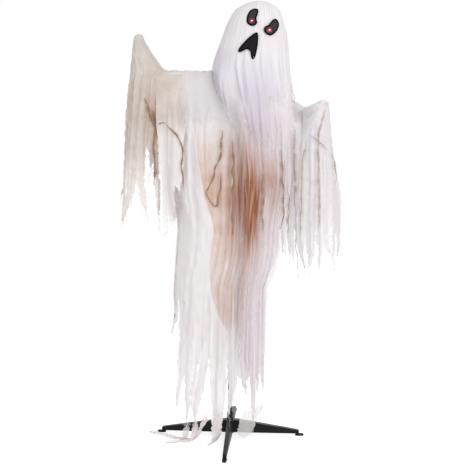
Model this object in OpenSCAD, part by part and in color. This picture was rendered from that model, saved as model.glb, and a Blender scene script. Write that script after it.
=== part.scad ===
// Animated ghost prop on a four-leg floor stand, shown mid-rock with its upper body leaning to the viewer's right.
// Millimetres, floor at Z = 0 under the pole, +Z up, the face looks along -Y, left and right as seen from the front.

/* [Stand] */
// Height of the rocker shaft above the floor
pivot_z = 1346; // [1200:1:1500]
// Turn of the four legs about the pole
leg_turn = -4.1; // [-45:0.1:45]
// Reach of each leg from the pole to the tip of its foot
leg_reach = 317; // [200:1:400]
// Width of the leg channel at the hub
leg_root_w = 24; // [16:0.5:40]
// Width of the leg channel at its outer end
leg_tip_w = 15; // [10:0.5:24]
// Height of the leg's top flange at the hub
leg_root_h = 64; // [40:1:90]
// Height of the leg's top flange at its outer end
leg_tip_h = 24; // [16:1:40]
// Height of the channel's lower edge above the floor
leg_edge_z = 9; // [6:0.5:20]
// Sheet thickness of the leg channel
leg_wall = 1.6; // [1:0.1:3]
// Outer diameter of the pole tube
pole_d = 19; // [14:0.5:30]
// Wall of the pole tube
pole_wall = 1.2; // [0.8:0.1:2.5]
// Width of the square hub block
hub_w = 32; // [26:1:50]

/* [Drive case] */
// Width of the drive case
case_w = 90; // [80:1:140]
// Half depth of the drive case
case_y = 32; // [30:0.5:50]
// Wall of the drive case
case_wall = 2.5; // [1.5:0.1:4]
// Height of the case floor
case_bottom = 1196; // [1150:1:1250]
// Gear module
gear_m = 1; // [0.8:0.1:1.5]
// Teeth on the rocker sector, counted round the full circle
sector_teeth = 60; // [40:1:80]
// Teeth on the small end of the second gear
second_small = 12; // [10:1:16]
// Teeth on the large end of the second gear
second_large = 40; // [30:1:50]
// Teeth on the small end of the first gear
first_small = 10; // [10:1:16]
// Teeth on the large end of the first gear
first_large = 36; // [30:1:44]
// Teeth on the motor pinion
pinion_teeth = 10; // [10:1:16]
// Rocker shaft diameter
shaft_d = 6; // [4:0.5:10]
// Gear axle diameter
axle_d = 3; // [2:0.5:5]
// Radial clearance of the running fits
run_gap = 0.05; // [0.02:0.01:0.1]
// Diameter of one battery cell
cell_d = 14.3; // [10:0.1:15]
// Length of one battery cell
cell_l = 50; // [40:0.5:52]

/* [Upper body] */
// Lean of the upper body at rest
torso_lean = 15; // [-15:0.5:15]
// Height of the shoulder hub above the rocker shaft
shoulder_h = 188; // [150:1:230]
// Droop of each upper arm below the shoulder line
arm_droop = 15; // [0:1:30]
// Length of the upper arm to the elbow pin
arm_len = 325; // [250:1:400]
// Outer diameter of the arm tubes
arm_d = 14; // [10:0.5:20]
// Length of the forearm to the middle of the hand knob
forearm_len = 178; // [120:1:240]
// Bend of the left elbow at rest
bend_left = 56; // [0:1:110]
// Bend of the right elbow at rest
bend_right = 84; // [0:1:110]
// Turn of the right elbow's bend plane toward the viewer
swivel_right = 78; // [0:1:90]
// Radius of the hand knobs
knob_r = 13; // [9:0.5:20]

/* [Head] */
// Height of the neck pin above the rocker shaft
neck_h = 283; // [240:1:340]
// Tilt of the head beyond the upper body at rest
head_tilt = 12; // [-12:0.5:12]
// Radius of the head dome
head_r = 107; // [90:0.5:120]
// Height of the dome's middle above the neck pin
dome_h = 99; // [80:1:120]
// Radius of the head shell at its open lower rim
rim_r = 101; // [80:0.5:115]
// Drop of the lower rim below the neck pin
rim_drop = 38; // [20:1:60]
// Wall of the head shell
head_wall = 3; // [2:0.1:5]
// Sideways place of the face's middle line
face_x = 3.5; // [-20:0.5:20]
// Half the distance between the eye lamps
eye_half = 39.5; // [30:0.5:50]
// Height of the eye lamps above the neck pin
eye_h = 101; // [80:0.5:120]
// Diameter of the eye lens
lens_d = 20; // [12:0.5:26]

/* [Cloth] */
// Thickness of the cloth solids
cloth_t = 2; // [1:0.1:4]
// Height of the top of the hood
hood_top = 1828; // [1700:1:1900]
// Columns round each hanging cloth
cloth_cols = 40; // [24:4:64]
// Depth of the folds at the hems
fold_depth = 11; // [0:0.5:14]

/* [Hidden] */
$fn = 48;
second_z = pivot_z - (sector_teeth + second_small) * gear_m / 2;
first_z = second_z - (second_large + first_small) * gear_m / 2;
motor_z = first_z - (first_large + pinion_teeth) * gear_m / 2;
case_in_y = case_y - case_wall;
door_top = case_bottom + 58;
cheek_y = case_y + 2;
pole_top = case_bottom + 44;
joint_low = 440;
joint_high = 840;
pressure = 25;
addendum = 0.75;
backlash = 0.16;

// Eye outline about its lamp, for the eye on the viewer's right
eye_points = [[0, 52], [14, 49], [24, 36], [25, 12], [15, -11], [-1, -17], [-17, -11], [-20, 3], [-10, 17],
  [-7, 36]];
// Right half of the mouth outline about the face's middle line, from the top down and round to the notch
mouth_half = [[9, 58], [22, 30], [31, 0], [35, -19], [31, -29], [22, -22], [12, -8]];
mouth_top = [0, 68];
mouth_notch = [0, -3];

// Hood: height, left, right, front and back of the outer face
hood_form = [[1828, 113, 121, -4, 4], [1817, 66, 168, -48, 48], [1788, 18, 207, -85, 86],
  [1757, -1, 219, -105, 106], [1720, -20, 230, -114, 113.5], [1688, -31, 237, -114, 115],
  [1640, -50, 243, -111, 115], [1591, -66, 248, -110.5, 115], [1546, -72, 252, -110.5, 118],
  [1494, -66, 256, -115, 122], [1394, -50, 266, -124, 127], [1290, -30, 268, -132, 130]];
// Height of the hood's hem against the angle round it, 0 toward the viewer's right and 90 to the rear
hood_hem = [[0, 1432], [14, 1424], [32, 1340], [90, 1330], [148, 1420], [164, 1552], [180, 1558], [196, 1552],
  [214, 1440], [240, 1340], [270, 1305], [328, 1330], [346, 1424], [360, 1432]];
hood_rows = [0, 0.02, 0.075, 0.14, 0.215, 0.29, 0.38, 0.5, 0.62, 0.75, 0.88, 1];
// Robe panels: height, left and right edge
robe_form = [[1542, -250, 262], [1416, -250, 258], [1380, -252, 242], [1094, -262, 238], [687, -247, 187],
  [376, -240, 156], [90, -238, 152]];
// Distance of the front and back panel from the arm line against the drop below it
front_depth = [[0, 21], [40, 30], [100, 46], [160, 74], [260, 96], [500, 106], [900, 106], [1500, 102]];
back_depth = [[0, 21], [40, 32], [100, 55], [160, 84], [260, 108], [450, 118], [900, 114], [1500, 106]];
robe_rows = [0, 0.03, 0.08, 0.15, 0.26, 0.42, 0.6, 0.8, 1];
// Front drape: height, left, right edge, and its mean distance in front of the pole
drape_form = [[1290, 44, 258, -142], [1094, 52, 250, -146], [687, 40, 190, -142], [376, 34, 158, -136],
  [90, 30, 154, -132]];
drape_rows = [0, 0.16, 0.32, 0.5, 0.68, 0.84, 1];
// Left sleeve
sleeve_left_form = [[1694, -382, -371, -5, 5], [1688, -393, -358, -16, 16], [1660, -400, -343, -23, 23],
  [1600, -407, -296, -27, 27], [1548, -412, -258, -31, 31], [1500, -416, -264, -34, 34],
  [1350, -430, -280, -44, 44], [1100, -444, -286, -52, 52], [940, -456, -286, -56, 56], [780, -456, -288, -56, 56]];
sleeve_left_hem = [[0, 800], [60, 850], [110, 1000], [150, 960], [180, 930], [210, 960], [250, 1010], [300, 850],
  [360, 800]];
// Right sleeve
sleeve_right_form = [[1406, 358, 370, -186, -166], [1401, 344, 384, -197, -100], [1390, 337, 393, -201, -6],
  [1372, 316, 398, -203, 30], [1330, 300, 404, -206, 38], [1200, 284, 420, -208, 45], [1010, 276, 450, -208, 48],
  [850, 280, 456, -205, 46], [730, 288, 456, -200, 42]];
sleeve_right_hem = [[0, 742], [60, 800], [118, 860], [165, 800], [230, 770], [290, 820], [360, 742]];
sleeve_rows = [0, 0.012, 0.045, 0.1, 0.17, 0.27, 0.44, 0.64, 0.83, 1];

// Extrudes a front-view outline between two depths
module along_y(y0, y1) {
  translate([0, y1, 0]) rotate([90, 0, 0]) linear_extrude(y1 - y0) children();
}

// Round bar along Y at one place of the front view
module bar_y(x, z, d, y0, y1) {
  translate([x, y1, z]) rotate([90, 0, 0]) cylinder(d = d, h = y1 - y0);
}

// Round bar along X from x0 to x1
module bar_x(d, x0, x1) {
  translate([x0, 0, 0]) rotate([0, 90, 0]) cylinder(d = d, h = x1 - x0);
}

// Placement of the upper body, leaning about the rocker shaft
module torso() {
  translate([0, 0, pivot_z]) rotate([0, torso_lean, 0]) children();
}

// Placement of the head on its neck pin
module head() {
  torso() translate([0, 0, neck_h]) rotate([0, head_tilt, 0]) children();
}

// Placement of one arm: side 0 right, 1 left; swivel turns the elbow's bend plane about the arm
module arm(side, swivel) {
  torso() translate([0, 0, shoulder_h]) rotate([0, 0, 180 * side]) rotate([0, arm_droop, 0])
    rotate([swivel, 0, 0]) children();
}

// Placement of one forearm at its elbow
module forearm_at(side, swivel, bend) {
  arm(side, swivel) translate([arm_len, 0, 0]) rotate([0, -bend, 0]) children();
}

// Smooth closed outline through a few points
function spline(a, b, c, d, t) = 0.5 * (2 * b + (c - a) * t + (2 * a - 5 * b + 4 * c - d) * t * t
  + (3 * b - a - 3 * c + d) * t * t * t);
function smooth(p, steps) = [for (i = [0 : len(p) - 1], k = [0 : steps - 1])
  spline(p[(i + len(p) - 1) % len(p)], p[i], p[(i + 1) % len(p)], p[(i + 2) % len(p)], k / steps)];
function reversed(p) = [for (i = [len(p) - 1 : -1 : 0]) p[i]];
function mirrored(p) = [for (q = p) [-q[0], q[1]]];

// Gear outline: involute flanks, a tooth centred on +X
function inv_angle(r, rb) = r <= rb ? 0 : sqrt(pow(r / rb, 2) - 1) * 180 / PI - acos(rb / r);
function flank(teeth, r) = let (rp = teeth * gear_m / 2, rb = rp * cos(pressure))
  90 / teeth - backlash / 2 / rp * 180 / PI + inv_angle(rp, rb) - inv_angle(r, rb);
module gear_outline(teeth, first, last) {
  rp = teeth * gear_m / 2;
  rb = rp * cos(pressure);
  tip = rp + addendum * gear_m;
  root = rp - (addendum + 0.25) * gear_m;
  low = max(root, rb);
  heights = [root, for (k = [0 : 4]) low + (tip - low) * k / 4];
  side = [for (r = heights) [r, flank(teeth, r)]];
  one = concat([for (s = side) [s[0], -s[1]]], [for (s = reversed(side)) s]);
  polygon(concat([for (i = [first : last], s = one) let (a = s[1] + 360 / teeth * i) s[0] * [cos(a), sin(a)]],
    last - first < teeth - 1 ? [[0, 0]] : []));
}
module gear(teeth, phase, y0, y1) {
  along_y(y0, y1) rotate(phase) gear_outline(teeth, 0, teeth - 1);
}

// Front view of the drive case, drawn in from its outer face by inset
module case_outline(inset) {
  half = case_w / 2 - inset;
  translate([-half, case_bottom + inset]) square([2 * half, pivot_z - case_bottom - inset]);
  translate([0, pivot_z]) circle(half, $fn = 96);
}

// Outer form of the head grown by extra
module head_form(extra) {
  translate([0, 0, dome_h]) intersection() {
    sphere(head_r + extra, $fn = 96);
    translate([0, 0, 200]) cube(400, center = true);
  }
  translate([0, 0, -rim_drop]) cylinder(r1 = rim_r + extra, r2 = head_r + extra, h = rim_drop + dome_h, $fn = 96);
}

// Triangles of a thin closed cloth: outer and inner grids of rows and columns, joined round its edges
function grid_faces(rows, cols, wrap, base, flip) = [for (i = [0 : rows - 2], j = [0 : wrap ? cols - 1 : cols - 2])
  let (a = base + i * cols + j, b = base + i * cols + (j + 1) % cols, c = b + cols, d = a + cols)
  each (flip ? [[a, b, c], [a, c, d]] : [[a, c, b], [a, d, c]])];
function rim_faces(outer, inner) = [for (k = [0 : len(outer) - 2])
  each [[outer[k], outer[k + 1], inner[k + 1]], [outer[k], inner[k + 1], inner[k]]]];
function loop(rows, cols, wrap, base) = wrap ? [] : concat(
  [for (i = [0 : rows - 1]) base + i * cols], [for (j = [1 : cols - 1]) base + (rows - 1) * cols + j],
  [for (i = [rows - 2 : -1 : 0]) base + i * cols + cols - 1], [for (j = [cols - 2 : -1 : 0]) base + j]);
function ring(cols, base) = [for (j = [0 : cols]) base + j % cols];
module cloth(outer, inner, wrap) {
  rows = len(outer);
  cols = len(outer[0]);
  n = rows * cols;
  last = (rows - 1) * cols;
  edges = wrap ? concat(rim_faces(ring(cols, n), ring(cols, 0)), rim_faces(ring(cols, last), ring(cols, n + last)))
    : rim_faces(loop(rows, cols, wrap, 0), loop(rows, cols, wrap, n));
  polyhedron(concat([for (r = outer, p = r) p], [for (r = inner, p = r) p]),
    concat(grid_faces(rows, cols, wrap, 0, true), grid_faces(rows, cols, wrap, n, false), edges), convexity = 12);
}

// One column of a form table as a lookup
function column(form, k) = [for (r = form) [r[0], r[k]]];
// Share of the full fold depth at a share of the way down
function fold_share(q) = q < 0.36 ? 0 : (q - 0.36) / 0.64;
// Ring point of a hanging cloth, moved inward by inset
function hang_point(form, z, a, q, folds, inset) = let (
  l = lookup(z, column(form, 1)), r = lookup(z, column(form, 2)),
  f = lookup(z, column(form, 3)), b = lookup(z, column(form, 4)),
  out = fold_depth * fold_share(q) * (0.7 * cos(folds * a) + 0.3 * cos((folds + 3) * a + 50)) - inset)
  [(l + r) / 2 + ((r - l) / 2 + out) * cos(a), (f + b) / 2 + ((b - f) / 2 + out) * sin(a), z];
function hang_grid(form, tops, hems, rows, angles, folds, rag, inset) = [for (q = rows)
  [for (a = angles) let (top = lookup(a, tops), hem = lookup(a, hems) + rag * (0.5 + 0.5 * sin(folds * 2 * a)),
    z = top - (top - hem) * q) hang_point(form, z, a, q, folds, inset)]];
module hanging(form, tops, hems, rows, angles, wrap, folds, rag) {
  cloth(hang_grid(form, tops, hems, rows, angles, folds, rag, 0),
    hang_grid(form, tops, hems, rows, angles, folds, rag, cloth_t), wrap);
}

module base_hub() {
  color("#232224") difference() {
    union() {
      translate([0, 0, 8]) rotate([0, 0, leg_turn]) linear_extrude(leg_root_h - 10) square(hub_w, center = true);
      translate([0, 0, 50]) cylinder(d = 25, h = 34);
      translate([0, 0, 64]) cylinder(d = 27.5, h = 8);
    }
    translate([0, 0, 12]) cylinder(d = pole_d + 0.2, h = 90);
    for (k = [0 : 3]) rotate([0, 0, leg_turn + 90 * k]) translate([0, 0, 36]) bar_x(4.2, 7, 30);
  }
}

// One pressed channel leg along +X
module leg() {
  end = leg_reach - 20;
  w = leg_wall;
  x0 = hub_w / 2;
  color("#3A3739") difference() {
    intersection() {
      along_y(-40, 40) polygon([[x0, leg_edge_z], [x0, leg_root_h], [x0 + 20, leg_root_h - 1], [end - 5, leg_tip_h],
        [end, leg_tip_h - 4], [end, leg_edge_z]]);
      linear_extrude(100) polygon([[x0, -leg_root_w / 2], [end, -leg_tip_w / 2], [end, leg_tip_w / 2],
        [x0, leg_root_w / 2]]);
    }
    intersection() {
      along_y(-40, 40) polygon([[x0 + w, 0], [x0 + w, leg_root_h - w], [x0 + 20, leg_root_h - 1 - w],
        [end - 5 - w, leg_tip_h - w], [end - w, leg_tip_h - 4 - w], [end - w, 0]]);
      linear_extrude(100) polygon([[x0, w - leg_root_w / 2], [end, w - leg_tip_w / 2], [end, leg_tip_w / 2 - w],
        [x0, leg_root_w / 2 - w]]);
    }
    translate([0, 0, 36]) bar_x(4.4, x0 - 5, x0 + 8);
  }
}
module leg_front() {
  rotate([0, 0, leg_turn - 90]) leg();
}
module leg_right() {
  rotate([0, 0, leg_turn]) leg();
}
module leg_rear() {
  rotate([0, 0, leg_turn + 90]) leg();
}
module leg_left() {
  rotate([0, 0, leg_turn + 180]) leg();
}

module foot_pads() {
  color("#1B1A1B") for (k = [0 : 3]) rotate([0, 0, leg_turn + 90 * k]) {
    difference() {
      union() {
        translate([leg_reach - 36, -9, 0]) cube([27, 18, 6]);
        translate([leg_reach - 9, 0, 0]) cylinder(d = 18, h = 6);
        translate([leg_reach - 36, -leg_tip_w / 2 + leg_wall + 0.3, 6])
          cube([14, leg_tip_w - 2 * leg_wall - 0.6, leg_tip_h - 13]);
      }
      translate([leg_reach - 9, 0, 2]) cylinder(d = 8, h = 10);
    }
  }
}

module leg_screws() {
  color("#7D7B7C") for (k = [0 : 3]) rotate([0, 0, leg_turn + 90 * k]) translate([0, 0, 36]) {
    bar_x(4, 10.6, hub_w / 2 + leg_wall + 1);
    bar_x(8, hub_w / 2 + leg_wall, hub_w / 2 + leg_wall + 3);
  }
}

module pole_collar() {
  color("#1B1A1B") difference() {
    translate([0, 0, 86]) cylinder(d = 28, h = 11);
    translate([0, 0, 80]) cylinder(d = pole_d + 0.2, h = 30);
    translate([0, 0, 91.5]) rotate([0, 0, 90]) bar_x(4.1, 5, 20);
  }
}

module collar_screw() {
  color("#232224") translate([0, 0, 91.5]) rotate([0, 0, 90]) {
    bar_x(4, pole_d / 2 + 0.1, 18);
    difference() {
      bar_x(14, 16, 24);
      for (k = [0 : 7]) rotate([45 * k, 0, 0]) translate([0, 8, 0]) bar_x(4, 15, 25);
    }
  }
}

// One tube of the pole between two heights
module pole_tube(z0, z1) {
  color("#2B2A2C") translate([0, 0, z0]) difference() {
    cylinder(d = pole_d, h = z1 - z0);
    translate([0, 0, -1]) cylinder(d = pole_d - 2 * pole_wall, h = z1 - z0 + 2);
  }
}
module pole_lower() {
  pole_tube(12, joint_low);
}
module pole_middle() {
  pole_tube(joint_low, joint_high);
}
module pole_upper() {
  pole_tube(joint_high, pole_top);
}
module pole_joiners() {
  color("#8D8B8C") for (z = [joint_low, joint_high]) translate([0, 0, z - 45]) difference() {
    cylinder(d = pole_d - 2 * pole_wall - 0.2, h = 90);
    translate([0, 0, -1]) cylinder(d = pole_d - 2 * pole_wall - 2.2, h = 92);
  }
}

module pole_socket() {
  color("#232224") difference() {
    union() {
      translate([0, 0, case_bottom - 34]) cylinder(d = 25, h = 84);
      translate([0, 0, case_bottom - 4]) cylinder(d = 33, h = 3.8);
    }
    translate([0, 0, case_bottom - 40]) cylinder(d = pole_d + 0.2, h = pole_top - case_bottom + 40);
  }
}

// Posts that carry the gear plate
module plate_posts(d, y0, y1) {
  for (x = [-30, 30], z = [motor_z - 6, pivot_z + 22]) bar_y(x, z, d, y0, y1);
}
// Bosses that join the two case halves
module case_bosses(d, y0, y1) {
  for (x = [-36, 36], z = [case_bottom + 8, pivot_z - 50]) bar_y(x, z, d, y0, y1);
}

module case_front() {
  color("#2B2A2C") difference() {
    union() {
      difference() {
        along_y(-case_y, 0) case_outline(0);
        along_y(-case_in_y, 1) case_outline(case_wall);
      }
      case_bosses(8, -case_in_y - 0.5, 0);
    }
    case_bosses(2.6, -14, 1);
    bar_y(0, pivot_z, 10.2, -case_y - 1, 0);
    translate([0, 0, case_bottom - 1]) cylinder(d = 25.4, h = 10);
    for (k = [0 : 5], n = [1 : 2]) bar_y(8 * n * cos(60 * k), case_bottom + 29 + 8 * n * sin(60 * k), 3,
      -case_y - 1, -case_in_y + 1);
    bar_y(0, case_bottom + 29, 3, -case_y - 1, -case_in_y + 1);
  }
}

module case_rear() {
  color("#2B2A2C") difference() {
    union() {
      difference() {
        along_y(0, case_y) case_outline(0);
        along_y(-1, case_in_y) case_outline(case_wall);
      }
      case_bosses(8, 0, case_in_y + 0.5);
      plate_posts(7, -6, case_in_y + 0.5);
      bar_y(0, second_z, 7, 11.6, case_in_y + 0.5);
      bar_y(0, first_z, 7, 18.6, case_in_y + 0.5);
      for (x = [-34, 34]) translate([x - 3, case_y - 0.5, door_top - 3]) cube([6, 6, 6]);
    }
    case_bosses(3.4, -1, case_y + 1);
    case_bosses(6.4, case_y - 2.4, case_y + 1);
    plate_posts(2.6, -7, 8);
    bar_y(0, second_z, axle_d + 0.1, 10, 22);
    bar_y(0, first_z, axle_d + 0.1, 10, 27);
    bar_y(0, pivot_z, 10.2, 0, case_y + 1);
    translate([0, 0, case_bottom - 1]) cylinder(d = 25.4, h = 10);
    translate([-28, case_in_y - 1, case_bottom + 4]) cube([56, 8, 50]);
    translate([-36.4, case_in_y - 1, pivot_z - 28.3]) cube([12.8, 8, 4.6]);
    bar_y(30, pivot_z - 26, 9.1, case_in_y - 1, case_y + 2);
    translate([0, case_y + 2.9, door_top]) bar_x(2.1, -40, 40);
  }
}

module case_screws() {
  color("#8D8B8C") {
    case_bosses(2.4, -12, case_y - 2.2);
    case_bosses(6, case_y - 2.4, case_y - 0.4);
    plate_posts(2.4, -9, 6);
    plate_posts(5.6, -10, -8);
  }
}

module gear_plate() {
  color("#8D8B8C") difference() {
    along_y(-8, -6) union() {
      translate([-40, motor_z - 15]) square([80, pivot_z - motor_z + 15]);
      translate([0, pivot_z]) circle(40, $fn = 96);
    }
    bar_y(0, pivot_z, shaft_d + 5, -10, 0);
    bar_y(0, second_z, axle_d + 0.1, -10, 0);
    bar_y(0, first_z, axle_d + 0.1, -10, 0);
    bar_y(0, motor_z, 24.1, -10, 0);
    plate_posts(3.2, -10, 0);
    case_bosses(9, -10, 0);
  }
}
module drive_motor() {
  color("#9A9C9E") difference() {
    union() {
      bar_y(0, motor_z, 24, -20, 9);
      bar_y(0, motor_z, 7, -22, -19);
      bar_y(0, motor_z, 6, 8, 11);
    }
    bar_y(0, motor_z, 2 + 2 * run_gap, -16, 12);
  }
}

module gear_axles() {
  color("#B9BABB") {
    bar_y(0, second_z, axle_d, -9, 20);
    bar_y(0, first_z, axle_d, -9, 26);
  }
}

module shaft_bushes() {
  color("#B08D57") for (s = [-1, 1]) difference() {
    union() {
      bar_y(0, pivot_z, 10, s * 30 - 3.4, s * 30 + 3.4);
      bar_y(0, pivot_z, 14, s * 28.2 - 1.2, s * 28.2 + 1.2);
    }
    bar_y(0, pivot_z, shaft_d + 2 * run_gap, -60, 60);
  }
}

module circuit_board() {
  color("#2F6B46") {
    translate([-31, -24, first_z - 2]) cube([62, 1.6, 44]);
    translate([-26, -22.5, first_z + 6]) cube([14, 3, 14]);
    translate([18, -22.5, first_z + 28]) rotate([-90, 0, 0]) cylinder(d = 8, h = 9);
    translate([14, -22.5, first_z + 6]) cube([12, 6, 8]);
  }
}

module speaker() {
  color("#1B1A1B") {
    bar_y(0, case_bottom + 29, 44, -case_in_y + 0.1, -case_in_y + 5);
    bar_y(0, case_bottom + 29, 26, -case_in_y + 4, -15);
  }
}

module battery_cells() {
  color("#3E5C57") for (k = [0 : 2]) translate([0, 21.6, case_bottom + 13 + 16 * k]) {
    bar_x(cell_d, -cell_l / 2, cell_l / 2 - 1);
    bar_x(5.5, cell_l / 2 - 2, cell_l / 2);
  }
}
module battery_contacts() {
  color("#B9BABB") for (k = [0 : 2], s = [-1, 1])
    translate([s * (cell_l / 2 + 0.6) - 0.4, 16.6, case_bottom + 8 + 16 * k]) cube([0.8, 10, 10]);
}

module switch_bodies() {
  color("#1B1A1B") {
    translate([-39, 20, pivot_z - 31]) cube([18, 7.4, 10]);
    translate([24, 19, pivot_z - 32]) cube([12, 6, 12]);
  }
}
module mode_switch() {
  color("#C9C7C4") {
    translate([-37, 27.6, pivot_z - 29.5]) cube([8, 1.6, 7]);
    translate([-36, 28, pivot_z - 28]) cube([6, 7, 4]);
  }
}
module try_button() {
  color("#B3261E") {
    bar_y(30, pivot_z - 26, 9, 28.5, 35.2);
    bar_y(30, pivot_z - 26, 11, 27.6, 29.2);
  }
}

module battery_door() {
  color("#2B2A2C") difference() {
    union() {
      translate([-30.6, case_y + 0.2, case_bottom + 2]) cube([61.2, 2.4, door_top - case_bottom - 3]);
      translate([0, case_y + 2.9, door_top]) bar_x(5, -30.6, 30.6);
      translate([-10, case_y + 2, case_bottom + 6]) cube([20, 2, 3]);
    }
    translate([0, case_y + 2.9, door_top]) bar_x(2 + 2 * run_gap, -40, 40);
  }
}
module door_pin() {
  color("#B9BABB") translate([0, case_y + 2.9, door_top]) bar_x(2, -36.8, 36.8);
}

// The small gears are phased so that a tooth of each wheel meets a gap of the next gear
module motor_pinion() {
  color("#B08D57") translate([0, 0, motor_z]) difference() {
    gear(pinion_teeth, 90 + 180 / pinion_teeth, 11.6, 18.4);
    bar_y(0, 0, 2.02, 0, 30);
  }
}
module motor_shaft() {
  color("#B9BABB") bar_y(0, motor_z, 2, -14, 18.8);
}
module first_gear() {
  color("#D9D6CF") translate([0, 0, first_z]) difference() {
    union() {
      gear(first_large, -90, 12.6, 17.6);
      gear(first_small, 90 + 180 / first_small, 5.2, 13);
    }
    bar_y(0, 0, axle_d + 2 * run_gap, -30, 30);
  }
}
module second_gear() {
  color("#D9D6CF") translate([0, 0, second_z]) difference() {
    union() {
      gear(second_large, -90, 5.6, 10.6);
      gear(second_small, 90 + 180 / second_small, -5.2, 6);
    }
    bar_y(0, 0, axle_d + 2 * run_gap, -30, 30);
  }
}
module rocker_sector() {
  color("#D9D6CF") translate([0, 0, pivot_z]) difference() {
    union() {
      along_y(-4, 4) rotate(-90) gear_outline(sector_teeth, -8, 3);
      bar_y(0, 0, 14, -5, 5);
    }
    bar_y(0, 0, shaft_d + 0.04, -30, 30);
  }
}
module rocker_shaft() {
  color("#B9BABB") bar_y(0, pivot_z, shaft_d, -cheek_y - 4.4, cheek_y + 4.4);
}

module rocker_yoke() {
  color("#3A3739") torso() difference() {
    union() {
      for (s = [-1, 1]) {
        along_y(s * (cheek_y + 1.5) - 1.5, s * (cheek_y + 1.5) + 1.5) union() {
          polygon([[-11, 0], [11, 0], [20, 50], [20, 55], [-20, 55], [-20, 50]]);
          circle(11);
        }
        bar_y(0, 0, 14, s * (cheek_y + 2.2) - 2.2, s * (cheek_y + 2.2) + 2.2);
      }
      translate([-20, -cheek_y - 3, 51]) cube([40, 2 * cheek_y + 6, 4]);
      translate([0, 0, 53]) cylinder(d = 29, h = 24);
    }
    translate([0, 0, 55]) cylinder(d = 20.1, h = 40);
    bar_y(0, 0, shaft_d + 0.04, -60, 60);
  }
}

module neck_tube() {
  color("#2B2A2C") torso() difference() {
    union() {
      translate([0, 0, 55]) cylinder(d = 20, h = neck_h - 70);
      intersection() {
        union() {
          translate([-10, -5, neck_h - 17]) cube([20, 10, 17]);
          bar_y(0, neck_h, 20, -5, 5);
        }
        translate([0, 0, neck_h - 15]) cylinder(d = 26, h = 40);
      }
    }
    translate([0, 0, 54]) cylinder(d = 17, h = neck_h - 76);
    bar_y(0, neck_h, 6 + 2 * run_gap, -20, 20);
  }
}

module shoulder_hub() {
  color("#232224") torso() translate([0, 0, shoulder_h]) difference() {
    union() {
      translate([0, 0, -20]) cylinder(d = 31, h = 40);
      for (s = [0, 1]) rotate([0, 0, 180 * s]) rotate([0, arm_droop, 0]) bar_x(20, 11.5, 64);
    }
    translate([0, 0, -30]) cylinder(d = 20.2, h = 60);
    for (s = [0, 1]) rotate([0, 0, 180 * s]) rotate([0, arm_droop, 0]) bar_x(arm_d + 0.1, 22, 70);
  }
}

// One upper arm along +X with the elbow fork at its end
module upper_arm() {
  difference() {
    union() {
      bar_x(arm_d, 22, arm_len - 22);
      translate([arm_len - 26, -9.5, -9]) cube([26, 19, 18]);
      bar_y(arm_len, 0, 18, -9.5, 9.5);
    }
    translate([arm_len - 14, -5.3, -20]) cube([40, 10.6, 40]);
    bar_y(arm_len, 0, 5.02, -20, 20);
    bar_x(arm_d - 4, 20, arm_len - 40);
  }
}
module upper_arm_left() {
  color("#2B2A2C") arm(1, 0) upper_arm();
}
module upper_arm_right() {
  color("#2B2A2C") arm(0, swivel_right) upper_arm();
}
module elbow_pins() {
  color("#B9BABB") {
    arm(1, 0) bar_y(arm_len, 0, 5, -10.4, 10.4);
    arm(0, swivel_right) bar_y(arm_len, 0, 5, -10.4, 10.4);
  }
}

// One forearm along +X from its elbow pin
module forearm() {
  difference() {
    union() {
      bar_y(0, 0, 18, -5, 5);
      translate([0, -5, -6]) cube([24, 10, 12]);
      bar_x(12, 20, forearm_len);
    }
    bar_y(0, 0, 5 + 2 * run_gap, -20, 20);
  }
}
// Hand knob at the end of one forearm
module hand_knob() {
  difference() {
    translate([forearm_len, 0, 0]) sphere(knob_r);
    bar_x(12.02, forearm_len - 30, forearm_len + 0.05);
  }
}
module forearm_left() {
  color("#2B2A2C") forearm_at(1, 0, bend_left) forearm();
}
module hand_knob_left() {
  color("#D8D4D2") forearm_at(1, 0, bend_left) hand_knob();
}
module forearm_right() {
  color("#2B2A2C") forearm_at(0, swivel_right, bend_right) forearm();
}
module hand_knob_right() {
  color("#D8D4D2") forearm_at(0, swivel_right, bend_right) hand_knob();
}

module eye_lead() {
  color("#1B1A1B") torso() {
    translate([0, 12.4, 78]) cylinder(d = 4, h = shoulder_h - 99);
    translate([0, 12.4, shoulder_h + 21]) cylinder(d = 4, h = neck_h - shoulder_h - 42);
  }
}

module head_bracket() {
  color("#3A3739") head() difference() {
    union() {
      for (s = [-1, 1]) along_y(s * 7.6 - 2.2, s * 7.6 + 2.2) union() {
        circle(10);
        translate([-10, 0]) square([20, 26]);
      }
      translate([-98, -14, 24]) cube([196, 28, 4]);
      translate([-14, -98, 24]) cube([28, 196, 4]);
    }
    bar_y(0, 0, 6.02, -20, 20);
  }
}
module neck_pin() {
  color("#B9BABB") head() bar_y(0, 0, 6, -11, 11);
}

// Hollow head shell before it is split
module head_shell() {
  difference() {
    head_form(0);
    head_form(-head_wall);
    translate([0, 0, -rim_drop]) cylinder(r = rim_r - head_wall, h = 4, center = true);
  }
}
module head_shell_front() {
  color("#D8D4D2") head() difference() {
    head_shell();
    translate([-200, 0, -100]) cube([400, 200, 400]);
    for (s = [-1, 1]) bar_y(face_x + s * eye_half, eye_h, 10, -150, -50);
  }
}
module head_shell_rear() {
  color("#D8D4D2") head() difference() {
    head_shell();
    translate([-200, -200, -100]) cube([400, 200, 400]);
  }
}

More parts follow.
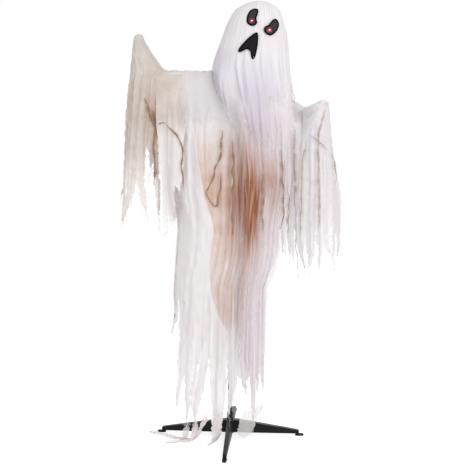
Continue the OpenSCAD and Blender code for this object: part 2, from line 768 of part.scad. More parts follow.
// Band in front of the head shell that the face panels are cut from
module face_band(low, high) {
  intersection() {
    difference() {
      head_form(high);
      head_form(low);
    }
    translate([-150, -200, -100]) cube([300, 160, 400]);
    children();
  }
}
module eye_panels() {
  color("#141316") head() difference() {
    for (s = [0, 1]) face_band(4.5, 14) along_y(-160, -40) translate([face_x - eye_half + 2 * s * eye_half, eye_h])
      polygon(smooth(s == 1 ? eye_points : reversed(mirrored(eye_points)), 4));
    for (s = [-1, 1]) bar_y(face_x + s * eye_half, eye_h, lens_d + 0.2, -150, -50);
  }
}
module mouth_panel() {
  color("#141316") head() face_band(4.5, 14) along_y(-160, -40) translate([face_x, 0])
    polygon(smooth(concat([mouth_top], mouth_half, [mouth_notch], reversed(mirrored(mouth_half))), 4));
}
module eye_lenses() {
  color("#C3121A") head() for (s = [-1, 1]) {
    bar_y(face_x + s * eye_half, eye_h, lens_d, -115, -104);
    bar_y(face_x + s * eye_half, eye_h, 9.8, -105, -90);
    intersection() {
      translate([face_x + s * eye_half, -103, eye_h]) sphere(17.2);
      bar_y(face_x + s * eye_half, eye_h, lens_d, -125, -114.5);
    }
  }
}

module hood() {
  angles = [for (j = [0 : cloth_cols - 1]) 360 * j / cloth_cols];
  color("#E3DEE4") hanging(hood_form, [[0, hood_top], [360, hood_top]], hood_hem, hood_rows, angles, true, 11, 14);
}

// Top line of the robe, just over the arms
function robe_top(x) = x < 49 ? 1542 : 1542 - (x - 49) * tan(arm_droop + torso_lean);
// Point of a robe panel: s across it, q down it, side -1 front and 1 back, moved toward the pole by inset
function robe_point(s, q, side, depth, inset) = let (x0 = -250 + 512 * s, top = robe_top(x0),
  hem = 84 + 34 * (0.5 + 0.5 * sin(5400 * s)) + 30 * s, z = top - (top - hem) * q, drop = top - z,
  l = lookup(z, column(robe_form, 1)), r = lookup(z, column(robe_form, 2)), belly = sqrt(1 - pow(2 * s - 1, 2)),
  fold = fold_depth * min(1, max(0, drop - 70) / 330) * belly,
  out = 14 + (lookup(drop, depth) - 14) * belly + fold * (0.7 * cos(3240 * s) + 0.3 * cos(5040 * s + 70 * q)))
  [l + (r - l) * s, side * (out - inset), z];
module robe_panel(side, depth) {
  across = [for (j = [0 : 43]) j / 43];
  faces = [for (q = robe_rows) [for (s = across) robe_point(s, q, side, depth, 0)]];
  backs = [for (q = robe_rows) [for (s = across) robe_point(s, q, side, depth, cloth_t)]];
  color("#E0DAD4") cloth(side < 0 ? faces : backs, side < 0 ? backs : faces, false);
}
module robe_front() {
  robe_panel(-1, front_depth);
}
module robe_back() {
  robe_panel(1, back_depth);
}
module sleeve_left() {
  angles = [for (j = [0 : 27]) 28 + 304 * j / 27];
  color("#CDBBAA") hanging(sleeve_left_form, [[0, 1694], [360, 1694]], sleeve_left_hem, sleeve_rows, angles, false,
    7, 40);
}
module sleeve_right() {
  angles = [for (j = [0 : 27]) 165 + 306 * j / 27];
  wrapped = concat(sleeve_right_hem, [for (h = sleeve_right_hem) [h[0] + 360, h[1]]]);
  color("#DDD8D2") hanging(sleeve_right_form, [[0, 1406], [720, 1406]], wrapped, sleeve_rows, angles, false, 7, 40);
}

// Point of the front drape: s across it from left to right, q down it, moved back by inset
function drape_point(s, q, inset) = let (z = 1290 - (1290 - 96 - 26 * (0.5 + 0.5 * cos(1800 * s))) * q,
  l = lookup(z, column(drape_form, 1)), r = lookup(z, column(drape_form, 2)), y = lookup(z, column(drape_form, 3)))
  [l + (r - l) * s, y + 7 * cos(360 * 4 * s) + 3 * cos(360 * 7 * s + 60 * q) + 14 * (1 - pow(2 * s - 1, 2)) * -0.4
    + inset, z];
module front_drape() {
  across = [for (j = [0 : 27]) j / 27];
  color("#E6E2E8") cloth([for (q = drape_rows) [for (s = across) drape_point(s, q, 0)]],
    [for (q = drape_rows) [for (s = across) drape_point(s, q, cloth_t)]], false);
}

base_hub();
leg_front();
leg_right();
leg_rear();
leg_left();
foot_pads();
leg_screws();
pole_collar();
pole_lower();
pole_middle();
pole_upper();
pole_joiners();
pole_socket();
case_front();
case_rear();
case_screws();
gear_plate();
drive_motor();
gear_axles();
shaft_bushes();
circuit_board();
speaker();
battery_cells();
battery_contacts();
switch_bodies();
collar_screw();
mode_switch();
try_button();
battery_door();
door_pin();
motor_pinion();
motor_shaft();
first_gear();
second_gear();
rocker_sector();
rocker_shaft();
rocker_yoke();
neck_tube();
shoulder_hub();
upper_arm_left();
upper_arm_right();
elbow_pins();
eye_lead();
robe_front();
robe_back();
front_drape();
sleeve_left();
sleeve_right();
forearm_left();
hand_knob_left();
forearm_right();
hand_knob_right();
head_bracket();
neck_pin();
head_shell_front();
head_shell_rear();
eye_panels();
eye_lenses();
mouth_panel();
hood();
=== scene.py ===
"""Visual model of an animated ghost prop: torn gauze over a rocking frame on a four-leg floor stand."""

from __future__ import annotations

import logging
import math
from dataclasses import dataclass, field
from enum import Enum
from typing import Any, Mapping, Sequence

import bpy
import numpy as np
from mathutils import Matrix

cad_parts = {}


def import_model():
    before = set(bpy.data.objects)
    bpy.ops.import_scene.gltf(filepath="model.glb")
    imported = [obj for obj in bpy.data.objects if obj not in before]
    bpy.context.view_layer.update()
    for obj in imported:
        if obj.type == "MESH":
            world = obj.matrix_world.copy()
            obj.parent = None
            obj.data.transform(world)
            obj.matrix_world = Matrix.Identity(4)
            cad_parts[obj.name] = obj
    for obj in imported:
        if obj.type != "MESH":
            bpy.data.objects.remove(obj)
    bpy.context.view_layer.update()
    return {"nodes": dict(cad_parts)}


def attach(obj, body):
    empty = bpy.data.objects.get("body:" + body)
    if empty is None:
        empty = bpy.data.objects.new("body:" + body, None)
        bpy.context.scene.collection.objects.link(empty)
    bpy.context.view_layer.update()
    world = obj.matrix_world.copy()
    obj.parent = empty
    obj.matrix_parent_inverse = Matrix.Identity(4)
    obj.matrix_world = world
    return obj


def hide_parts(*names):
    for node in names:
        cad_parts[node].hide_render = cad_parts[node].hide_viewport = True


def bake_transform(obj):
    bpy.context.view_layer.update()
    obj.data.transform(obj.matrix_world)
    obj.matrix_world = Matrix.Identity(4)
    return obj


LOG = logging.getLogger("ghost_prop")
MM = 0.001
PER_M = 1000.0
TURN = 2 * math.pi
SHEET_FLOOR = 0.004
THREAD_FLOOR = 0.003
Array = np.ndarray
Socket = bpy.types.NodeSocket
Tree = bpy.types.NodeTree
Point = tuple[float, float, float]
Hole = tuple[float, float, float, float]


# Shader tools

def linear(hex_colour: str) -> tuple[float, float, float, float]:
    """Turns an sRGB hex colour into linear RGBA.

    Args:
        hex_colour: Colour such as "#E3DEE4".

    Returns:
        Linear red, green, blue and an alpha of 1.
    """
    parts = [int(hex_colour[i:i + 2], 16) / 255 for i in (1, 3, 5)]
    rgb = [c / 12.92 if c <= 0.04045 else ((c + 0.055) / 1.055) ** 2.4 for c in parts]
    return rgb[0], rgb[1], rgb[2], 1.0


def add_node(tree: Tree, kind: str, settings: Mapping[Any, Any] | None = None,
             links: Mapping[Any, Any] | None = None) -> bpy.types.Node:
    """Adds one shader node with its settings and links.

    Args:
        tree: Node tree that takes the node.
        kind: Blender's name for the node type.
        settings: Attribute names, or input names and numbers, with their values.
        links: Input names or numbers with the output sockets that feed them.

    Returns:
        The new node.
    """
    node = tree.nodes.new(kind)
    for key, value in (settings or {}).items():
        if isinstance(key, str) and hasattr(node, key):
            setattr(node, key, value)
        else:
            node.inputs[key].default_value = value
    for key, socket in (links or {}).items():
        tree.links.new(socket, node.inputs[key])
    return node


def start_material(name: str) -> tuple[bpy.types.Material, Tree, bpy.types.Node]:
    """Opens a new material.

    Args:
        name: The real material's name.

    Returns:
        The material, its node tree and its main shader.
    """
    mat = bpy.data.materials.new(name)
    mat.use_nodes = True
    return mat, mat.node_tree, mat.node_tree.nodes["Principled BSDF"]


def set_inputs(node: bpy.types.Node, values: Mapping[str, Any]) -> None:
    """Sets constants directly on a node's sockets."""
    for name, value in values.items():
        node.inputs[name].default_value = value


def stretch(tree: Tree, place: Socket, scale: Point) -> Socket:
    """Scales a place along its three axes."""
    return add_node(tree, "ShaderNodeMapping", {"Scale": scale}, {"Vector": place}).outputs[0]


def noise(tree: Tree, place: Socket, scale: float = 1.0, detail: float = 2.0, rough: float = 0.5,
          warp: float = 0.0) -> Socket:
    """Gives a noise over a place."""
    settings = {"Scale": scale, "Detail": detail, "Roughness": rough, "Distortion": warp}
    return add_node(tree, "ShaderNodeTexNoise", settings, {"Vector": place}).outputs["Fac"]


def remap(tree: Tree, value: Socket, low: float, high: float,
          span: tuple[float, float] = (0.3, 0.7)) -> Socket:
    """Gives low at the start of the span, high at its end, and a straight ramp between."""
    settings = {1: span[0], 2: span[1], 3: low, 4: high}
    return add_node(tree, "ShaderNodeMapRange", settings, {0: value}).outputs[0]


def maths(tree: Tree, kind: str, first: Socket, second: Socket, clamp: bool = False) -> Socket:
    """Joins two values by one operation."""
    settings = {"operation": kind, "use_clamp": clamp}
    return add_node(tree, "ShaderNodeMath", settings, {0: first, 1: second}).outputs[0]


def mix_colour(tree: Tree, share: Socket, first: str | Socket, second: str) -> Socket:
    """Mixes two colours.

    Args:
        tree: Node tree.
        share: Share of the second colour.
        first: Hex colour or colour socket.
        second: Hex colour.

    Returns:
        The mixed colour.
    """
    settings: dict[Any, Any] = {"data_type": "RGBA", 7: linear(second)}
    links: dict[Any, Any] = {0: share}
    if isinstance(first, str):
        settings[6] = linear(first)
    else:
        links[6] = first
    return add_node(tree, "ShaderNodeMix", settings, links).outputs[2]


# Shape tools

def smoothstep(value: Array, low: float, high: float) -> Array:
    """Rises smoothly from 0 at low to 1 at high."""
    t = np.clip((value - low) / (high - low), 0, 1)
    return t * t * (3 - 2 * t)


def bell(value: Array, middle: float, spread: float) -> Array:
    """Gives 1 at the middle and falls off over the spread to both sides."""
    return np.exp(-0.5 * ((value - middle) / spread) ** 2)


def unit(rows: Array) -> Array:
    """Scales each row to a length of 1."""
    return rows / np.linalg.norm(rows, axis=1)[:, None]


class Profile:
    """Smooth curve through the rows of a small table, without overshoot."""

    def __init__(self, knots: Sequence[float], values: Sequence[float]) -> None:
        """Stores the rows in rising order and works out a slope at each.

        Args:
            knots: Places along the curve.
            values: The curve's value at each place.
        """
        order = np.argsort(knots)
        self.x = np.asarray(knots, float)[order]
        self.y = np.asarray(values, float)[order]
        step = np.diff(self.x)
        rise = np.diff(self.y) / step
        slope = np.zeros_like(self.y)
        same = rise[:-1] * rise[1:] > 0
        weight = (step[1:] * rise[:-1] + step[:-1] * rise[1:]) / (step[1:] + step[:-1])
        limit = 2.5 * np.minimum(abs(rise[:-1]), abs(rise[1:]))
        slope[1:-1] = np.where(same, np.sign(weight) * np.minimum(abs(weight), limit), 0)
        slope[0], slope[-1] = rise[0], rise[-1]
        self.slope = slope

    def __call__(self, at: Array) -> Array:
        """Reads the curve.

        Args:
            at: Places along it, held inside the table.

        Returns:
            The curve's value at each place.
        """
        at = np.clip(at, self.x[0], self.x[-1])
        i = np.clip(np.searchsorted(self.x, at, side="right") - 1, 0, len(self.x) - 2)
        h = self.x[i + 1] - self.x[i]
        t = (at - self.x[i]) / h
        return ((2 * t ** 3 - 3 * t ** 2 + 1) * self.y[i] + (t ** 3 - 2 * t ** 2 + t) * h * self.slope[i]
                + (3 * t ** 2 - 2 * t ** 3) * self.y[i + 1] + (t ** 3 - t ** 2) * h * self.slope[i + 1])


def curves(rows: Sequence[Sequence[float]], knots: Sequence[float] | None = None) -> list[Profile]:
    """Makes one curve for each column of a table after the first.

    Args:
        rows: The table, with the place along the curves in its first column.
        knots: Places to use instead of the first column.

    Returns:
        The curves in the order of the columns.
    """
    columns = list(zip(*rows))
    return [Profile(columns[0] if knots is None else knots, column) for column in columns[1:]]


class Ripple:
    """Seeded sum of sines for uneven lines."""

    def __init__(self, rng: np.random.Generator, low: float, high: float, count: int = 6) -> None:
        """Draws the waves.

        Args:
            rng: Seeded generator.
            low: Lowest frequency.
            high: Highest frequency.
            count: Number of waves.
        """
        self.freq = rng.uniform(low, high, count)
        self.phase = rng.uniform(0, 1, count)
        weight = (low / self.freq) ** 0.5
        self.weight = weight / np.sqrt((weight ** 2).sum() / 2)

    def __call__(self, t: Array) -> Array:
        """Gives a value of about -1 to 1 at each place t."""
        turn = TURN * (self.freq * np.asarray(t)[..., None] + self.phase)
        return (self.weight * np.sin(turn)).sum(-1) * 0.6


class FoldField:
    """Hanging folds across a sheet that wander as they go down."""

    def __init__(self, rng: np.random.Generator, counts: Sequence[int], wander: float) -> None:
        """Draws one wave for each fold count.

        Args:
            rng: Seeded generator.
            counts: Whole number of folds across the sheet for each wave.
            wander: Share of the sheet's width that a fold drifts sideways.
        """
        self.count = np.asarray(counts, float)
        self.phase = rng.uniform(0, 1, len(counts))
        self.drift = rng.uniform(-0.5, 0.5, len(counts))
        self.weight = (self.count.min() / self.count) ** 0.62
        self.weight /= np.sqrt((self.weight ** 2).sum() / 2)
        self.wander = wander
        self.turns = rng.uniform(0, 1, 3)
        self.patch = rng.uniform(0, 1, (len(counts), 2))
        self.reach = rng.uniform(0.8, 2.2, len(counts))

    def __call__(self, s: Array, q: Array) -> Array:
        """Gives the fold height from about -1 to 1.

        Args:
            s: Share of the way across.
            q: Share of the way down.

        Returns:
            Fold height at each place.
        """
        bent = s + self.wander * (np.sin(TURN * (0.7 * q + self.turns[0]))
                                  + 0.5 * np.sin(TURN * (1.9 * q + self.turns[1] + s)))
        turn = TURN * (self.count * bent[..., None] + self.phase + self.drift * q[..., None])
        near = (np.sin(TURN * (self.reach * q[..., None] + self.patch[:, 0]))
                * np.sin(TURN * (2 * s[..., None] + self.patch[:, 1])))
        wave = (np.sin(turn) + 0.28 * np.sin(2 * turn + 0.8)) * (0.55 + 0.45 * near)
        return np.tanh(1.1 * (self.weight * wave).sum(-1))


class Crumple:
    """Seeded oblique waves for cloth that was crushed before it was hung."""

    def __init__(self, rng: np.random.Generator, span: tuple[float, float], low_mm: float, high_mm: float,
                 count: int = 16) -> None:
        """Draws the waves.

        Args:
            rng: Seeded generator.
            span: Cloth size across and down in metres.
            low_mm: Shortest wave.
            high_mm: Longest wave.
            count: Number of waves.
        """
        length = rng.uniform(low_mm, high_mm, count) * MM
        angle = rng.uniform(0, math.pi, count)
        self.across = np.round(np.cos(angle) / length * span[0])
        self.down = np.sin(angle) / length * span[1]
        self.phase = rng.uniform(0, 1, count)

    def __call__(self, s: Array, q: Array) -> Array:
        """Gives a height of about -1 to 1 at each share across and down."""
        turn = TURN * (self.across * s[..., None] + self.down * q[..., None] + self.phase)
        return np.tanh(np.sin(turn).sum(-1) / math.sqrt(len(self.phase)))


def oval(sides: Sequence[Profile], drop: Array, out: Array, cos: Array, sin: Array) -> tuple[Array, Array]:
    """Places points on a hanging tube of oval section.

    Args:
        sides: Curves of its left, right, front and rear over the root of the drop.
        drop: Distance below its top in millimetres.
        out: Height of the folds in millimetres.
        cos: Cosine of the way round it.
        sin: Sine of the way round it.

    Returns:
        Sideways place and depth in millimetres.
    """
    left, right, front, rear = (side(np.sqrt(np.maximum(drop, 0))) for side in sides)
    x = (left + right) / 2 + ((right - left) / 2 + out) * cos
    y = (front + rear) / 2 + ((rear - front) / 2 + out) * sin
    return x, y


def grid_faces(rows: int, cols: int, base: int, round_rows: bool = False,
               round_cols: bool = False) -> list[list[int]]:
    """Lists the four-sided faces of a grid of points.

    Args:
        rows: Points along it.
        cols: Points across it.
        base: Number of its first vertex.
        round_rows: Whether the last row joins the first.
        round_cols: Whether the last column joins the first.

    Returns:
        Vertex numbers of each face.
    """
    faces = []
    for i in range(rows if round_rows else rows - 1):
        for j in range(cols if round_cols else cols - 1):
            m, k = (i + 1) % rows, (j + 1) % cols
            faces.append([base + i * cols + j, base + i * cols + k, base + m * cols + k, base + m * cols + j])
    return faces


def dome_faces(rings: int, count: int, base: int) -> list[list[int]]:
    """Lists the faces of rings that close on one last point.

    Args:
        rings: Number of rings.
        count: Points on each ring.
        base: Number of the first vertex.

    Returns:
        Vertex numbers of each face.
    """
    last = base + (rings - 1) * count
    fan = [[last + i, last + (i + 1) % count, base + rings * count] for i in range(count)]
    return grid_faces(rings, count, base, round_cols=True) + fan


def tube_points(line: Array, across: Array, up: Array, radius: Array, sides: int) -> Array:
    """Lays rings of points round a line.

    Args:
        line: Points of the line.
        across: Unit vector to the side at each point.
        up: Unit vector square to it.
        radius: Radius at each point.
        sides: Points on each ring.

    Returns:
        One row for each point, ring after ring.
    """
    turn = np.linspace(0, TURN, sides, endpoint=False)[None, :, None]
    ring = np.cos(turn) * across[:, None] + np.sin(turn) * up[:, None]
    return (line[:, None] + radius[:, None, None] * ring).reshape(-1, 3)


def new_object(name: str, points: Array, faces: Sequence[Sequence[int]],
               smooth: bool = True) -> bpy.types.Object:
    """Makes a mesh object in the scene.

    Args:
        name: Piece name.
        points: One row of three metres for each vertex.
        faces: Vertex numbers of each face.
        smooth: Whether faces are shaded smooth.

    Returns:
        The linked object.
    """
    mesh = bpy.data.meshes.new(name)
    mesh.from_pydata(np.asarray(points, float).tolist(), [], faces)
    mesh.polygons.foreach_set("use_smooth", [smooth] * len(mesh.polygons))
    mesh.update()
    obj = bpy.data.objects.new(name, mesh)
    bpy.context.scene.collection.objects.link(obj)
    return obj


def mesh_points(mesh: bpy.types.Mesh) -> Array:
    """Reads the places of a mesh's vertices.

    Args:
        mesh: The mesh.

    Returns:
        One row of three metres for each vertex.
    """
    co = np.zeros(len(mesh.vertices) * 3)
    mesh.vertices.foreach_get("co", co)
    return co.reshape(-1, 3)


def set_flat_map(obj: bpy.types.Object, flat: Array) -> None:
    """Gives a mesh a UV map in metres of flat cloth.

    Args:
        obj: The mesh object.
        flat: Two metres for each vertex.
    """
    layer = obj.data.uv_layers.new(name="flat_cloth")
    corner = np.zeros(len(obj.data.loops), np.int32)
    obj.data.loops.foreach_get("vertex_index", corner)
    layer.data.foreach_set("uv", np.asarray(flat, np.float32)[corner].ravel())


def set_mask(obj: bpy.types.Object, mask: Array) -> None:
    """Stores dye, tan, lilac and cover for each vertex as one colour attribute."""
    layer = obj.data.color_attributes.new(name="cloth_mask", type="FLOAT_COLOR", domain="POINT")
    layer.data.foreach_set("color", np.asarray(mask, np.float32).ravel())


def path_length(path: Sequence[Point]) -> float:
    """Adds up the straight runs of a path."""
    return sum(math.dist(a, b) for a, b in zip(path, path[1:]))


def spline_path(points: Sequence[Point], samples: int) -> Array:
    """Runs a smooth path through a few points.

    Args:
        points: Points in metres.
        samples: Number of points on the result.

    Returns:
        Evenly spread points along the path.
    """
    knots = np.asarray(points, float)
    along = np.concatenate([[0], np.cumsum(np.linalg.norm(np.diff(knots, axis=0), axis=1))])
    at = np.linspace(0, along[-1], samples)
    return np.stack([Profile(along, knots[:, k])(at) for k in range(3)], axis=1)


# Placement of the head

@dataclass(frozen=True)
class HeadPlace:
    """Where the head sits at rest, in millimetres and degrees."""

    pivot_z: float = 1346.0
    lean: float = 15.0
    neck: float = 283.0
    tilt: float = 12.0
    dome_h: float = 99.0
    dome_r: float = 107.0
    rim_r: float = 101.0
    rim_drop: float = 38.0

    def to_world(self, points: Array) -> Array:
        """Moves points of the head's own frame into the shared frame.

        Args:
            points: Rows of x, y, z in millimetres about the neck pin.

        Returns:
            Rows in metres.
        """
        p = np.asarray(points, float).copy()
        for angle, lift in ((self.tilt, self.neck), (self.lean, self.pivot_z)):
            c, s = math.cos(math.radians(angle)), math.sin(math.radians(angle))
            x, z = p[..., 0].copy(), p[..., 2].copy()
            p[..., 0] = x * c + z * s
            p[..., 2] = -x * s + z * c + lift
        return p * MM

    def front(self, x: Array, z: Array, extra: float) -> Array:
        """Finds the front face of the head form grown by extra.

        Args:
            x: Sideways place in millimetres.
            z: Height above the neck pin in millimetres.
            extra: Growth of the form in millimetres.

        Returns:
            Rows of x, y, z in the head's frame.
        """
        dome = (self.dome_r + extra) ** 2 - x ** 2 - (z - self.dome_h) ** 2
        up = (z + self.rim_drop) / (self.rim_drop + self.dome_h)
        cone_r = self.rim_r + up * (self.dome_r - self.rim_r) + extra
        depth = np.where(z >= self.dome_h, dome, cone_r ** 2 - x ** 2)
        return np.stack([x, -np.sqrt(np.maximum(depth, 1)), z], axis=-1)


# Finishes

@dataclass(frozen=True)
class Gauze:
    """Thin polyester gauze, loosely woven, so light comes through and every fold shows as a soft streak of
    painted shade and highlight.
    """

    name: str
    light: str
    shade: str
    tan: str = "#CDBBAA"
    dye: str = "#A06E50"
    lilac: str = "#D5CCDD"
    thread_mm: float = 1.5
    streak_mm: float = 9.0
    streak_draw: float = 22.0
    blotch_mm: float = 70.0
    crease_mm: tuple[float, float] = (11.0, 34.0)
    openness: float = 0.25
    roughness: float = 0.85
    sheen: float = 0.12
    bump_mm: float = 1.2
    thin_patches: float = 0.08
    translucency: float = 0.35

    def material(self) -> bpy.types.Material:
        """Builds the cloth's material.

        Returns:
            A material that reads the flat map and the mask of a sheet.
        """
        mat, tree, shader = start_material(self.name)
        flat = add_node(tree, "ShaderNodeUVMap", {"uv_map": "flat_cloth"}).outputs[0]
        mask = add_node(tree, "ShaderNodeAttribute", {"attribute_name": "cloth_mask"}).outputs
        dye, tan, lilac = add_node(tree, "ShaderNodeSeparateColor", links={0: mask["Color"]}).outputs[:3]
        # Long streaks are painted fold shade and highlight mixed with the cloth's uneven tone, so their noise
        # is drawn out down the cloth
        drawn = (PER_M / self.streak_mm, PER_M / (self.streak_mm * self.streak_draw), 1)
        streak = noise(tree, stretch(tree, flat, drawn))
        blotch = noise(tree, flat, PER_M / self.blotch_mm, 3.0)
        crease = (PER_M / self.crease_mm[0], PER_M / self.crease_mm[1], 1)
        crumple = noise(tree, stretch(tree, flat, crease), 1.0, 5.0, 0.6, 0.4)
        # The real weave is about 0.5 mm and too fine to show, so it is drawn at thread_mm
        wave = {"Scale": TURN * PER_M / self.thread_mm / 20, "Distortion": 2.0, "Detail": 1.0}
        warp, weft = (add_node(tree, "ShaderNodeTexWave", {"bands_direction": axis, **wave}, {"Vector": flat})
                      for axis in "XY")
        weave = maths(tree, "MAXIMUM", warp.outputs["Fac"], weft.outputs["Fac"])
        # Painted fold shade and highlight: the streaks mix the light and shade colours
        colour = mix_colour(tree, remap(tree, streak, 0.0, 1.0, (0.32, 0.68)), self.light, self.shade)
        # The lilac share also carries painted grey shade on the hood's lower left and the robe's shoulder
        # cape
        colour = mix_colour(tree, lilac, colour, self.lilac)
        tanned = maths(tree, "MULTIPLY", tan, remap(tree, blotch, 0.55, 1.15), True)
        colour = mix_colour(tree, tanned, colour, self.tan)
        soaked = maths(tree, "MULTIPLY", dye, remap(tree, streak, 0.25, 1.35), True)
        colour = mix_colour(tree, soaked, colour, self.dye)
        gaps = remap(tree, weave, -self.openness, self.openness * 0.45, (0.0, 1.0))
        worn = maths(tree, "ADD", gaps, remap(tree, streak, -self.thin_patches, self.thin_patches))
        cover = maths(tree, "ADD", mask["Alpha"], worn, True)
        height = add_node(tree, "ShaderNodeMath", {"operation": "MULTIPLY_ADD", 1: 0.22},
                          {0: weave, 2: crumple})
        bump = add_node(tree, "ShaderNodeBump", {"Strength": 0.55, "Distance": self.bump_mm * MM},
                        {"Height": height.outputs[0]}).outputs[0]
        tree.links.new(colour, shader.inputs["Base Color"])
        tree.links.new(bump, shader.inputs["Normal"])
        through = add_node(tree, "ShaderNodeBsdfTranslucent", links={"Color": colour, "Normal": bump})
        body = add_node(tree, "ShaderNodeMixShader", {0: self.translucency},
                        {1: shader.outputs[0], 2: through.outputs[0]})
        clear = add_node(tree, "ShaderNodeBsdfTransparent")
        sheer = add_node(tree, "ShaderNodeMixShader",
                         links={0: cover, 1: clear.outputs[0], 2: body.outputs[0]})
        tree.links.new(sheer.outputs[0], tree.nodes["Material Output"].inputs["Surface"])
        set_inputs(shader, {"Roughness": self.roughness, "Specular IOR Level": 0.15,
                            "Sheen Weight": self.sheen, "Sheen Roughness": 0.5})
        return mat


@dataclass(frozen=True)
class Solid:
    """Opaque finish with a mottled colour, a grain in the bump and an uneven gloss."""

    name: str
    colour: str
    second: str
    grain_mm: float = 1.0
    stretch: Point = (1.0, 1.0, 1.0)
    roughness: float = 0.5
    gloss_spread: float = 0.12
    metallic: float = 0.0
    ior: float = 1.5
    bump_mm: float = 0.05
    coat: float = 0.0
    glow: float = 0.0
    specular: float = 0.5
    clouds_per_m: float = 14.0

    def material(self) -> bpy.types.Material:
        """Builds the finish.

        Returns:
            A material on object coordinates, which are metres here.
        """
        mat, tree, shader = start_material(self.name)
        place = add_node(tree, "ShaderNodeTexCoord").outputs["Object"]
        scale = tuple(PER_M / self.grain_mm * k for k in self.stretch)
        grain = noise(tree, stretch(tree, place, scale), 1.0, 3.0)
        cloud = noise(tree, place, self.clouds_per_m, 4.0)
        colour = mix_colour(tree, cloud, self.colour, self.second)
        gloss = remap(tree, cloud, self.roughness - self.gloss_spread, self.roughness + self.gloss_spread)
        bump = add_node(tree, "ShaderNodeBump", {"Strength": 0.5, "Distance": self.bump_mm * MM},
                        {"Height": grain})
        tree.links.new(colour, shader.inputs["Base Color"])
        tree.links.new(gloss, shader.inputs["Roughness"])
        tree.links.new(bump.outputs[0], shader.inputs["Normal"])
        set_inputs(shader, {"Metallic": self.metallic, "IOR": self.ior, "Coat Weight": self.coat,
                            "Specular IOR Level": self.specular})
        if self.glow:
            tree.links.new(colour, shader.inputs["Emission Color"])
            set_inputs(shader, {"Emission Strength": self.glow})
        return mat


# Tricot knit pulled smooth over the dome: almost opaque, white with a lilac cast; the lilac also paints shade
# on its lower left
HOOD_TRICOT = Gauze("polyester_tricot_white", "#F6F4F4", "#E2DDE1", dye="#B57F58", streak_mm=8.0,
                    openness=0.06, roughness=0.8, bump_mm=0.6, thin_patches=0.04, translucency=0.2)
# Voile veil: the sheerest cloth, with a lilac cast where it hangs free
VEIL_VOILE = Gauze("polyester_voile_lilac", "#F7F4F6", "#EBE4E8", lilac="#DDD3DC", tan="#CB9160",
                   dye="#9B5414", streak_mm=9.0, openness=0.12, thin_patches=0.08, translucency=0.25)
# Cheesecloth robe: cream white, tea-stained in places and airbrushed brown in the middle; its grey lilac also
# paints shade on the shoulder cape
ROBE_CHEESECLOTH = Gauze("cheesecloth_cream", "#F5F3F5", "#ECE8E9", tan="#D8B095", dye="#A05820",
                         lilac="#D9D5D9", streak_mm=13.0, openness=0.12, thin_patches=0.04, translucency=0.28)
# Cheesecloth sleeves dipped in tea and crumpled while wet, so they are tan with sharp small creases
SLEEVE_CHEESECLOTH = Gauze("cheesecloth_tea_dipped", "#EFEDEB", "#E1DCD8", tan="#CAB7A6", dye="#A87850",
                           streak_mm=14.0, openness=0.13, bump_mm=2.0, thin_patches=0.06, translucency=0.28)
# The same cloth washed out again where it lies over the arm
DRAPE_CHEESECLOTH = Gauze("cheesecloth_tea_faded", "#F5F3F2", "#ECE8E5", tan="#C4AF9D", dye="#A87850",
                          streak_mm=14.0, openness=0.11, bump_mm=2.0, thin_patches=0.05, translucency=0.24)
# Strips of the same cloth twisted into cords and stained brown
STRAND_TWIST = Solid("cheesecloth_twisted_brown", "#84604A", "#AF8C73", grain_mm=1.2, stretch=(1, 1, 0.3),
                     roughness=0.9, gloss_spread=0.05, bump_mm=0.6)
# The same cords left nearly undyed
STRAND_PALE = Solid("cheesecloth_twisted_grey", "#A08D7E", "#C6B6A8", grain_mm=1.2, stretch=(1, 1, 0.3),
                    roughness=0.9, gloss_spread=0.05, bump_mm=0.6)
# Folded sheet steel under a satin black powder coat, with the coat's orange peel
LEG_POWDER = Solid("steel_powder_coated_black", "#131214", "#1C1B1D", grain_mm=0.9, roughness=0.42,
                   bump_mm=0.06, specular=0.14)
# Drawn tube with the same coat, smoother
POLE_POWDER = Solid("steel_tube_powder_coated", "#1B1A1C", "#262527", grain_mm=1.2, roughness=0.4,
                    bump_mm=0.03, specular=0.28)
# Injection-moulded ABS with a spark-eroded texture
CASE_ABS = Solid("abs_moulded_black", "#1A191B", "#232224", grain_mm=0.7, roughness=0.5, bump_mm=0.08,
                 specular=0.28)
# Moulded rubber feet, matt and a little dusty
FOOT_RUBBER = Solid("rubber_moulded_black", "#1A191A", "#252324", grain_mm=1.4, roughness=0.8, bump_mm=0.1,
                    specular=0.2)
# Zinc-plated steel, brushed round by turning
ZINC_STEEL = Solid("steel_zinc_plated", "#C6C7C9", "#AEB0B3", grain_mm=0.5, stretch=(1, 0.2, 1),
                   roughness=0.34, metallic=1.0, bump_mm=0.02)
# Turned brass
TURNED_BRASS = Solid("brass_turned", "#C4A265", "#B08F55", grain_mm=0.4, stretch=(1, 0.15, 1), roughness=0.3,
                     metallic=1.0, bump_mm=0.02)
# Natural acetal gears, waxy
GEAR_ACETAL = Solid("acetal_moulded_natural", "#E2DFD6", "#D2CEC3", grain_mm=2.0, roughness=0.45, ior=1.48,
                    bump_mm=0.03)
# Glass-epoxy board under green solder mask
BOARD_EPOXY = Solid("glass_epoxy_green_mask", "#23603C", "#1B4A2F", grain_mm=1.5, roughness=0.4, coat=0.3,
                    bump_mm=0.04)
# Matt black phenolic and PVC small parts
DARK_PVC = Solid("pvc_matt_black", "#1F1E20", "#2A282B", grain_mm=0.8, roughness=0.7, bump_mm=0.06)
# Shrink sleeve on the cells, glossy
CELL_SLEEVE = Solid("pvc_shrink_sleeve_green", "#3E5C57", "#34504B", grain_mm=5.0, roughness=0.25, coat=0.4,
                    bump_mm=0.02)
# Glossy moulded button
BUTTON_ABS = Solid("abs_moulded_red", "#B3261E", "#9E1F19", grain_mm=1.5, roughness=0.3, coat=0.3,
                   bump_mm=0.02)
# Blow-moulded polyethylene, white and a little uneven
HEAD_PE = Solid("polyethylene_blow_moulded", "#E8E4E6", "#DDD8DB", grain_mm=6.0, roughness=0.5, ior=1.51,
                bump_mm=0.2)
